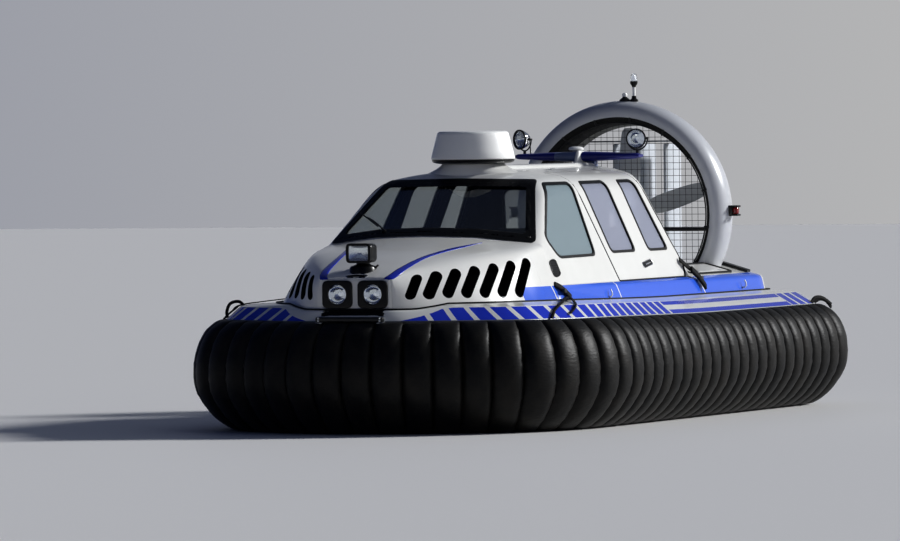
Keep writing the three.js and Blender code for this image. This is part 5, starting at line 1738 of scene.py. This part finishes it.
def cushion(name, corner, along, across, up, size, channels):
    """A padded block: its size along, across and up from a corner, swollen between channel seams."""
    length, width, height = size
    work = bmesh.new()
    bmesh.ops.create_cube(work, size=1.0)
    for vertex in work.verts:
        vertex.co = Vector(((vertex.co.x + 0.5) * length, vertex.co.y * width, (vertex.co.z + 0.5) * height))
    bmesh.ops.bevel(work, geom=work.edges[:], offset=0.028, segments=3, profile=0.5, affect="EDGES")
    mesh = bpy.data.meshes.new(name)
    work.to_mesh(mesh)
    work.free()
    made = bpy.data.objects.new(name, mesh)
    bpy.context.scene.collection.objects.link(made)
    remesh = made.modifiers.new("even", "REMESH")
    remesh.mode = "VOXEL"
    remesh.voxel_size = 0.012
    settle(made)
    before = np.empty(len(made.data.vertices) * 3)
    made.data.vertices.foreach_get("co", before)
    before = before.reshape(-1, 3)
    pitch = width / channels
    phase = (before[:, 1] + width / 2) / pitch
    from_seam = np.abs(phase - np.round(phase)) * pitch
    between_ends = (np.round(phase) > 0.5) & (np.round(phase) < channels - 0.5)
    near_seam = (from_seam < 0.008) & between_ends
    top = before[:, 2] > height * 0.55
    held = (near_seam & top) | (before[:, 2] < 0.02)
    after = before.copy()
    group = made.vertex_groups.new(name="held")
    group.add([int(i) for i in np.flatnonzero(held)], 1.0, "REPLACE")
    cloth = made.modifiers.new("cover", "CLOTH")
    cloth.settings.quality = 4
    cloth.settings.mass = 0.4
    cloth.settings.tension_stiffness = 18
    cloth.settings.compression_stiffness = 18
    cloth.settings.bending_stiffness = 1.5
    cloth.settings.use_pressure = True
    cloth.settings.uniform_pressure_force = 4.0
    cloth.settings.vertex_group_mass = "held"
    cloth.settings.effector_weights.gravity = 0.0
    cloth.collision_settings.use_self_collision = False
    cloth.point_cache.frame_start = 1
    cloth.point_cache.frame_end = 20
    for frame_number in range(1, 21):
        bpy.context.scene.frame_set(frame_number)
    blown = np.empty(len(before) * 3)
    made.evaluated_get(bpy.context.evaluated_depsgraph_get()).data.vertices.foreach_get("co", blown)
    move = blown.reshape(-1, 3) - before
    far = np.linalg.norm(move, axis=1)
    move *= np.minimum(1.0, 0.014 / np.maximum(far, 1e-9))[:, None]
    after = before + move
    made.modifiers.clear()
    bpy.context.scene.frame_set(1)
    groove = np.clip(1 - from_seam / 0.014, 0, 1) * top * between_ends
    after[:, 2] -= 0.007 * groove
    frame_axes = np.array([along, across, up])
    placed = after @ frame_axes + np.array(corner)
    made.data.vertices.foreach_set("co", placed.ravel())
    made.data.update()
    soft = made.modifiers.new("soft", "SUBSURF")
    soft.levels = 1
    soft.render_levels = 1
    settle(made)
    painted(made, seat_vinyl, sharp=math.radians(70))
    return made


SEATS = (
    # place, front x, width, sewn channels
    ("driver", 0.700, 0.500, 5),
    ("middle", -0.010, 1.500, 15),
    ("rear", -0.640, 1.160, 12),
)
for place, front_x, width, channels in SEATS:
    half = width / 2 - 0.014
    soft_box("seat_base_" + place, (front_x - 0.545, -half + 0.02, 0.6205),
             (front_x - 0.04, half - 0.02, 0.845), 0.02, base_plastic,
             node="seat_" + place)
    slope = Vector((-0.44, 0, -0.02)).normalized()
    seat_up = Vector((slope.z, 0, -slope.x))
    cushion("seat_cushion_" + place, (front_x - 0.014, 0, 0.835), tuple(slope), (0, 1, 0), tuple(seat_up),
            (0.47, half * 2, 0.135), channels)
    lean = Vector((-0.12, 0, 0.515)).normalized()
    forward = Vector((lean.z, 0, -lean.x))
    cushion("seat_back_" + place, (front_x - 0.545, 0, 0.955), tuple(lean), (0, 1, 0), tuple(forward),
            (0.515, half * 2, 0.085), channels)


# The hull's clamp strip and rub seam
# A flat alloy strip, held by small dome-headed bolts, clamps the top of the skirt to the
# hull's edge. A rubber bead seals the seam where the body stands on the hull.
STRIP = {"Height": 0.018, "Thickness": 0.006, "Spacing": 0.14, "Head": 0.006}


def clamp_tree():
    """A flat strip along a closed loop, and round bolt heads at even steps on its middle."""
    tree, entry, out = new_tree("strip_with_bolts", **STRIP)
    curve = add(tree, "GeometryNodeMeshToCurve", links={0: entry.outputs[0]})
    section = add(tree, "GeometryNodeCurvePrimitiveQuadrilateral",
                  links={"Width": entry.outputs["Thickness"], "Height": entry.outputs["Height"]})
    upright = add(tree, "GeometryNodeSetCurveNormal", {"mode": "Z_UP"}, {0: curve.outputs[0]})
    strip = add(tree, "GeometryNodeCurveToMesh",
                links={"Curve": upright.outputs[0], "Profile Curve": section.outputs[0]})
    steps = add(tree, "GeometryNodeResampleCurve", {"mode": "LENGTH"},
                {"Curve": curve.outputs[0], "Length": entry.outputs["Spacing"]})
    head = add(tree, "GeometryNodeMeshUVSphere", {"Segments": 10, "Rings": 6},
               {"Radius": entry.outputs["Head"]})
    heads = add(tree, "GeometryNodeInstanceOnPoints",
                links={"Points": steps.outputs[0], "Instance": head.outputs[0]})
    joined = add(tree, "GeometryNodeJoinGeometry", links={0: strip.outputs[0]})
    tree.links.new(heads.outputs[0], joined.inputs[0])
    return finish_tree(tree, entry, out, joined.outputs[0])


def loop_points(plan, outward, height):
    """A closed line round the hull at a distance outside one of its plan outlines."""
    ahead_of_each, behind_each = np.roll(plan, -1, axis=0), np.roll(plan, 1, axis=0)
    tangent = ahead_of_each - behind_each
    tangent /= np.maximum(np.linalg.norm(tangent, axis=1), 1e-9)[:, None]
    moved = plan + np.column_stack([tangent[:, 1], -tangent[:, 0]]) * outward
    return [tuple(p) for p in np.column_stack([moved, height + 0 * moved[:, 0]])]


cast_alloy = new_material("dull_marine_alloy", "#8d9092", 0.5, Metallic=0.9)[0]
clamp_line = loop_points(edge_plan, -0.002, EDGE_Z + EDGE_SHEER * sheer(edge_plan[:, 0]) - 0.007)
clamp_edges = [(i, (i + 1) % len(clamp_line)) for i in range(len(clamp_line))]
fit(grow("skirt_clamp_strip", clamp_tree(), clamp_line, clamp_edges, STRIP, cast_alloy))
seam = loop_points(rim_line[:, :2], 0.002, rim_line[:, 2] + 0.004)
bars("rub_seam_bead", [seam + seam[:1]], 0.006, seal)


# The vents and the oval plate
# Black moulded vents with flat ribs, one on each side ahead of the doors and one on each
# slope of the engine deck; and a small blank oval plate with a bright rim on the nose.
DECK_SLOPE_Z = 1.160
DECK_FALL = 0.275


def side_spot(x, z, hand, lift):
    """A point on the side of the body, raised along its normal."""
    place, outward, _, _ = outside_tree.ray_cast(Vector((x, hand * 1.6, z)), Vector((0, -hand, 0)))
    return place + outward * lift


def hood_spot(x, y, _, lift):
    """A point on the top of the nose, raised along its normal."""
    place, outward, _, _ = outside_tree.ray_cast(Vector((x, y, 2.5)), Vector((0, 0, -1)))
    return place + outward * lift


def slope_spot(x, y, hand, lift):
    """A point on the slope of the engine deck, raised along its normal."""
    return Vector((x, hand * (y + 0.265 * lift), DECK_SLOPE_Z - DECK_FALL * (y - 0.72) + 0.964 * lift))


def plate(name, spot, outline, hand, lift, thickness, material, body="craft"):
    """A thin plate that follows a surface, made from rings of its outline."""
    flat = np.array(outline)
    middle = flat.mean(axis=0)
    verts = [spot(*middle, hand, lift)]
    shares = (0.34, 0.67, 0.9, 1.0)
    for share in shares:
        raised = lift * (1.0 if share < 0.95 else 0.55)
        verts += [spot(*(middle + (point - middle) * share), hand, raised) for point in flat]
    around = len(flat)
    faces = [(0, 1 + k, 1 + (k + 1) % around) for k in range(around)]
    for r in range(len(shares) - 1):
        a, b = 1 + r * around, 1 + (r + 1) * around
        faces += [(a + k, b + k, b + (k + 1) % around, a + (k + 1) % around) for k in range(around)]
    made = finish_mesh(name, verts, faces, material)
    if made.data.polygons[0].normal.dot(facing_of(spot, middle, hand)) < 0:
        made.data.flip_normals()
    return fit(thicken(made, thickness), body)


def facing_of(spot, place, hand):
    """The direction a surface faces at a place."""
    return (spot(*place, hand, 0.01) - spot(*place, hand, 0.0)).normalized()


def ribbed_vent(name, ends, radius, hand, ribs):
    """A vent in the body's side, drawn as the bow quarter shows it: a ribbed plate in an oblong rim."""
    outline = on_flank(round_slot(*ends, radius))
    plate(name + "_plate", side_spot, outline, hand, 0.002, 0.004, plastic)
    rim = [tuple(side_spot(u, v, hand, 0.003)) for u, v in outline]
    bars(name + "_rim", [rim + rim[:1]], 0.004, plastic, sides=6)
    foot, head = np.array(ends[0]), np.array(ends[1])
    lines = []
    for share in np.linspace(-0.16, 1.16, ribs):
        middle = foot + (head - foot) * share
        over = max(0.0, abs(share - 0.5) - 0.5) * np.linalg.norm(head - foot)
        half = math.sqrt(max(radius ** 2 - over ** 2, 0)) * 0.88
        rib = on_flank([middle - (half, 0), middle + (half, 0)])
        lines.append([tuple(side_spot(u, v, hand, 0.004)) for u, v in rib[:len(rib) // 2 + 1]])
    bars(name + "_ribs", lines, 0.003, plastic, sides=6)


for side, hand in SIDES:
    ribbed_vent("quarter_vent_" + side, ((0.394, 1.167), (0.364, 1.244)), 0.0265, hand, 8)
    cowl = [(hand * y, DECK_SLOPE_Z - DECK_FALL * (y - 0.72) + lift)
            for y, lift in ((0.745, -0.01), (0.990, -0.01), (0.990, 0.011), (0.745, 0.016))]
    cowl = cowl if hand > 0 else cowl[::-1]
    painted(prism("deck_vent_cowl_" + side, cowl, 0.008, -2.850, -2.772, "x"), plastic)
    fins = [[tuple(slope_spot(-2.771, y, hand, z)) for z in (0.0, 0.010)]
            for y in np.linspace(0.76, 0.975, 14)]
    bars("deck_vent_fins_" + side, fins, 0.003, plastic, sides=6)
OVAL = [(2.969 + 0.024 * math.cos(a), 0.088 * math.sin(a))
        for a in np.linspace(0, 2 * math.pi, 48, endpoint=False)]
plate("nose_plate", hood_spot, OVAL, 1, 0.002, 0.003, plastic)
oval_rim = [tuple(hood_spot(x, y, 1, 0.003)) for x, y in OVAL]
bars("nose_plate_rim", [oval_rim + oval_rim[:1]], 0.003, chrome)


# The deck hatches
# A flat glass-fibre lid on each slope of the engine deck, pressed on a thick black rubber
# seal by two quarter-turn latches.
HATCH = [(-1.570, 0.985), (-2.440, 0.985), (-2.440, 0.745), (-1.570, 0.745)]
hatch_outline = rounded_outline(HATCH, 0.05)
lid_outline = rounded_outline(grown_outline(HATCH, -0.016), 0.04)
for side, hand in SIDES:
    seal_line = [tuple(slope_spot(u, v, hand, 0.003)) for u, v in hatch_outline]
    bars("hatch_seal_" + side, [seal_line + seal_line[:1]], 0.011, seal, sides=10)
    plate("hatch_lid_" + side, slope_spot, lid_outline, hand, 0.010, 0.008, body_gelcoat)
    for number, x in enumerate((-1.75, -2.25)):
        knob = [(0, 0), (0, 0.016), (0.003, 0.016), (0.005, 0.012), (0.005, 0)]
        lathe(f"hatch_latch_{side}_{number}", knob, slope_spot(x, 0.945, hand, 0.009),
              facing_of(slope_spot, (x, 0.945), hand), 20, steel, slot="alloy")


# The bow pad
# A black rubber tread glued on the hull's deck between the tow bar and the nose, ribbed
# across.
hull_tree = BVHTree.FromObject(hull, bpy.context.evaluated_depsgraph_get())


def bow_spot(x, y, _, lift):
    """A point on the deck at the bow, raised along its normal."""
    place, outward, _, _ = hull_tree.ray_cast(Vector((x, y, 1.4)), Vector((0, 0, -1)))
    return place + outward * lift


pad_outline = rounded_outline([(3.016, 0.255), (3.016, -0.255), (3.066, -0.255), (3.066, 0.255)], 0.012)
plate("bow_pad", bow_spot, pad_outline, 1, 0.003, 0.003, seal)
pad_ribs = [[tuple(bow_spot(x, y, 1, 0.004)) for y in np.linspace(-0.245, 0.245, 13)]
            for x in np.linspace(3.026, 3.058, 4)]
bars("bow_pad_ribs", pad_ribs, 0.003, seal, sides=6)


# The doors' fittings
# A flush chrome handle in a black dish on each door, two short hinges at its upper edge, and
# a rubber seal on the sill that it closes on.
HANDLE = ((-0.476, 1.186), (-0.651, 1.208))
HINGE_Z = 1.9505
SILL_SEAL = [(0.172, 1.0775), (-0.30, 1.0775), (-0.80, 1.0775), (-1.255, 1.0775), (-1.296, 1.110),
             (-1.334, 1.185)]
DOOR_EDGES = ([(0.171 + 0.130 * t, 1.082 + 0.750 * t) for t in np.linspace(0, 1, 9)],
              [(-1.331 + 0.233 * t, 1.188 + 0.655 * t) for t in np.linspace(0, 1, 9)])
for side, hand in SIDES:
    door_body = "door_" + side
    outline = round_slot(*HANDLE, 0.022)
    plate("handle_dish_" + side, side_spot, outline, hand, 0.0015, 0.003, plastic, door_body)
    rim = [tuple(side_spot(u, v, hand, 0.002)) for u, v in outline]
    bars("handle_rim_" + side, [rim + rim[:1]], 0.0035, chrome, door_body, 8)
    paddle = [tuple(side_spot(*(np.array(HANDLE[0]) * (1 - t) + np.array(HANDLE[1]) * t), hand, 0.006))
              for t in (0.12, 0.5, 0.72)]
    bars("handle_paddle_" + side, [paddle], 0.007, chrome, door_body, 10)
    bars("sill_seal_" + side, [[tuple(side_spot(x, z, hand, 0.001)) for x, z in SILL_SEAL]], 0.0075, seal)
    edges = [[tuple(side_spot(x, z, hand, 0.0)) for x, z in edge] for edge in DOOR_EDGES]
    bars("door_edge_seal_" + side, edges, 0.0055, seal)
    for number, x in enumerate((0.10, -0.90)):
        barrel_line = [(x + reach, hand * DOOR_TOP_Y, HINGE_Z) for reach in (-0.035, 0.035)]
        bars(f"door_hinge_barrel_{side}_{number}", [barrel_line], 0.006, steel, sides=12)
        ys = sorted((hand * 0.408, hand * 0.449))
        soft_box(f"door_hinge_leaf_{side}_{number}", (x - 0.032, ys[0], 1.9440), (x + 0.032, ys[1], 1.9500),
                 0.001, steel, steps=1)


# The windscreen wiper
# A black steel arm from a boss at the foot of the glass, with a rubber blade.
wiper_foot = Vector((1.572, -0.361, 1.493))
wiper_tip = Vector((1.196, -0.719, 1.634))
foot_near, foot_out, _, _ = outside_tree.find_nearest(wiper_foot)
boss = [(0, 0), (0, 0.020), (0.012, 0.019), (0.020, 0.012), (0.022, 0)]
lathe("wiper_boss", boss, foot_near, foot_out, 24, plastic, slot="black_trim")
arm_line = [tuple(on_body(wiper_foot.lerp(wiper_tip, share), lift))
            for share, lift in ((0.0, 0.020), (0.15, 0.034), (0.4, 0.036), (0.62, 0.022))]
bars("wiper_arm", [arm_line], 0.0065, powder)
blade_line = [tuple(on_body(wiper_foot.lerp(wiper_tip, share), 0.008))
              for share in (0.24, 0.4, 0.6, 0.8, 1.0)]
bars("wiper_blade", [blade_line], 0.0055, seal, sides=6)


# The straps and cleats
# Black polyester webbing with cam buckles holds the skirt's lines at the hull's edge: a strap
# each side ahead of and behind the door, loops at the bow and the stern, and white cleats.


def webbing_finish():
    """Woven polyester webbing: black and dull, ribbed across its length."""
    material, tree, shader = new_material("polyester_webbing", "#060607", 0.7, Specular_IOR_Level=0.2)
    place = add(tree, "ShaderNodeUVMap", {"uv_map": "along"})
    weave = add(tree, "ShaderNodeTexWave", {"wave_type": "BANDS", "bands_direction": "X", "Scale": 40.0},
                {"Vector": place.outputs[0]})
    emboss(tree, shader, weave.outputs[1], 0.6, 0.001)
    return material


def ribbon(name, path, width, thickness, facing):
    """A flat strap along a smooth path, its flat side turned to a direction."""
    line = spline(path, 8)
    tangent = np.gradient(line, axis=0)
    tangent /= np.maximum(np.linalg.norm(tangent, axis=1), 1e-9)[:, None]
    across = np.cross(tangent, facing)
    across /= np.maximum(np.linalg.norm(across, axis=1), 1e-9)[:, None]
    distance = np.concatenate([[0], np.cumsum(np.linalg.norm(np.diff(line, axis=0), axis=1))])
    verts = np.concatenate([line + across * width * s for s in (-0.5, 0.0, 0.5)])
    uvs = np.concatenate([np.column_stack([distance, np.full(len(line), width * s)])
                          for s in (-0.5, 0.0, 0.5)])
    n = len(line)
    faces = [(r * n + i, r * n + i + 1, (r + 1) * n + i + 1, (r + 1) * n + i)
             for r in range(2) for i in range(n - 1)]
    made = finish_mesh(name, verts, faces, webbing, math.radians(60), uvs)
    return fit(thicken(made, thickness, 0))


webbing = webbing_finish()
STRAPS = (
    # name, width, thickness, facing and points, both for port
    ("bow_strap", 0.044, 0.012, (0.2, 0.9, 0.35),
     ((1.500, 1.012, 1.086), (1.450, 1.042, 1.060), (1.385, 1.064, 1.020), (1.322, 1.076, 0.982))),
    ("bow_tie_behind", 0.019, 0.006, (0.5, 0.3, 0.8),
     ((1.360, 1.084, 0.980), (1.560, 1.170, 0.982), (1.780, 1.275, 0.968), (1.994, 1.377, 0.946),
      (2.075, 1.397, 0.915), (2.172, 1.402, 0.884))),
    ("bow_tie_ahead", 0.023, 0.006, (0.5, 0.3, 0.8),
     ((1.365, 1.076, 0.985), (1.600, 1.140, 0.986), (1.900, 1.240, 0.970), (2.165, 1.316, 0.951),
      (2.285, 1.322, 0.912), (2.345, 1.334, 0.884), (2.400, 1.345, 0.852))),
    ("stern_strap", 0.052, 0.007, (0.0, 0.9, 0.45),
     ((-1.245, 0.985, 1.215), (-1.320, 1.026, 1.156), (-1.390, 1.070, 1.104))),
    ("stern_strap_cover", 0.062, 0.018, (0.0, 0.9, 0.45),
     ((-1.310, 1.062, 1.136), (-1.390, 1.098, 1.070), (-1.470, 1.124, 0.990))),
    ("stern_loop_ahead", 0.030, 0.005, (0.3, 0.9, 0.3),
     ((-2.900, 1.494, 0.828), (-2.955, 1.512, 0.866), (-3.040, 1.545, 0.858), (-3.110, 1.590, 0.806))),
    ("stern_loop_behind", 0.030, 0.005, (0.3, 0.9, 0.3),
     ((-3.020, 1.470, 0.826), (-3.075, 1.500, 0.852), (-3.140, 1.530, 0.836), (-3.190, 1.560, 0.780))),
)
for name, width, thickness, facing, points in STRAPS:
    for side, hand in SIDES:
        turned_points = [(x, y * hand, z) for x, y, z in points]
        turned_facing = (facing[0], facing[1] * hand, facing[2])
        ribbon(f"{name}_{side}", turned_points, width, thickness, turned_facing)
BOW_LOOP = ((2.130, -1.428, 0.842), (2.105, -1.452, 0.895), (2.050, -1.446, 0.958), (1.985, -1.402, 0.972),
            (1.960, -1.372, 0.930), (2.005, -1.385, 0.882), (2.060, -1.405, 0.856))
ribbon("bow_loop", BOW_LOOP, 0.024, 0.004, (0.7, 0.5, 0.3))
for side, hand in SIDES:
    for name, x, y, z in (("bow", 1.430, 1.066, 1.035), ("stern", -1.432, 1.100, 1.062)):
        low_y, high_y = sorted((hand * (y - 0.012), hand * (y + 0.012)))
        soft_box(f"{name}_buckle_{side}", (x - 0.026, low_y, z - 0.016), (x + 0.026, high_y, z + 0.016),
                 0.005, powder)
    for name, x, y in (("ahead", 0.530, 1.082), ("behind", -2.380, 1.104)):
        horn = [(x, hand * (y + out), z) for out, z in ((-0.01, 0.966), (0.014, 0.966), (0.024, 0.982),
                                                        (0.020, 1.006), (0.010, 1.022))]
        bars(f"cleat_{name}_{side}", [horn], 0.0065, radome_white)


# The guard's clips
# Short black rods that hold the guard ring to the duct's lip, evenly spaced round it.
clip_lines = []
for number in range(16):
    turn = 2 * math.pi * (number + 0.35) / 16
    clip_lines.append([(x, radius * math.sin(turn), DUCT_Z + radius * math.cos(turn))
                       for x, radius in ((GUARD_X - 0.004, 0.741), (-2.472, 0.760), (-2.462, 0.792))])
bars("guard_clips", clip_lines, 0.0085, powder)


# The engine and the skids
# The engine is a plain block of painted iron under its deck. The craft rests on two skids of
# extruded alloy with scuffed undersides.
# Cast iron under grey paint: satin, rough as the sand mould left it.
iron, iron_tree, iron_shader = new_material("painted_cast_iron", "#2a2d31", 0.55)
emboss(iron_tree, iron_shader, speckle(iron_tree, 120.0, 3.0), 0.4, 0.002)
# Extruded alloy, scratched along its length by ice and gravel.
scuffed, scuffed_tree, scuffed_shader = new_material("scuffed_alloy_extrusion", "#8f9295", 0.42,
                                                     Metallic=1.0)
spot = add(scuffed_tree, "ShaderNodeTexCoord")
along_x = add(scuffed_tree, "ShaderNodeMapping", {"Scale": (2.0, 90.0, 90.0)},
              {"Vector": spot.outputs["Object"]})
scratch = add(scuffed_tree, "ShaderNodeTexNoise", {"Scale": 1.0, "Detail": 5.0},
              {"Vector": along_x.outputs[0]})
emboss(scuffed_tree, scuffed_shader, scratch.outputs[0], 0.3, 0.001)
for node, material in (("engine", iron), ("skid_port", scuffed), ("skid_starboard", scuffed)):
    slots = nodes[node].data.materials
    if len(slots):
        slots[0] = material
    else:
        slots.append(material)
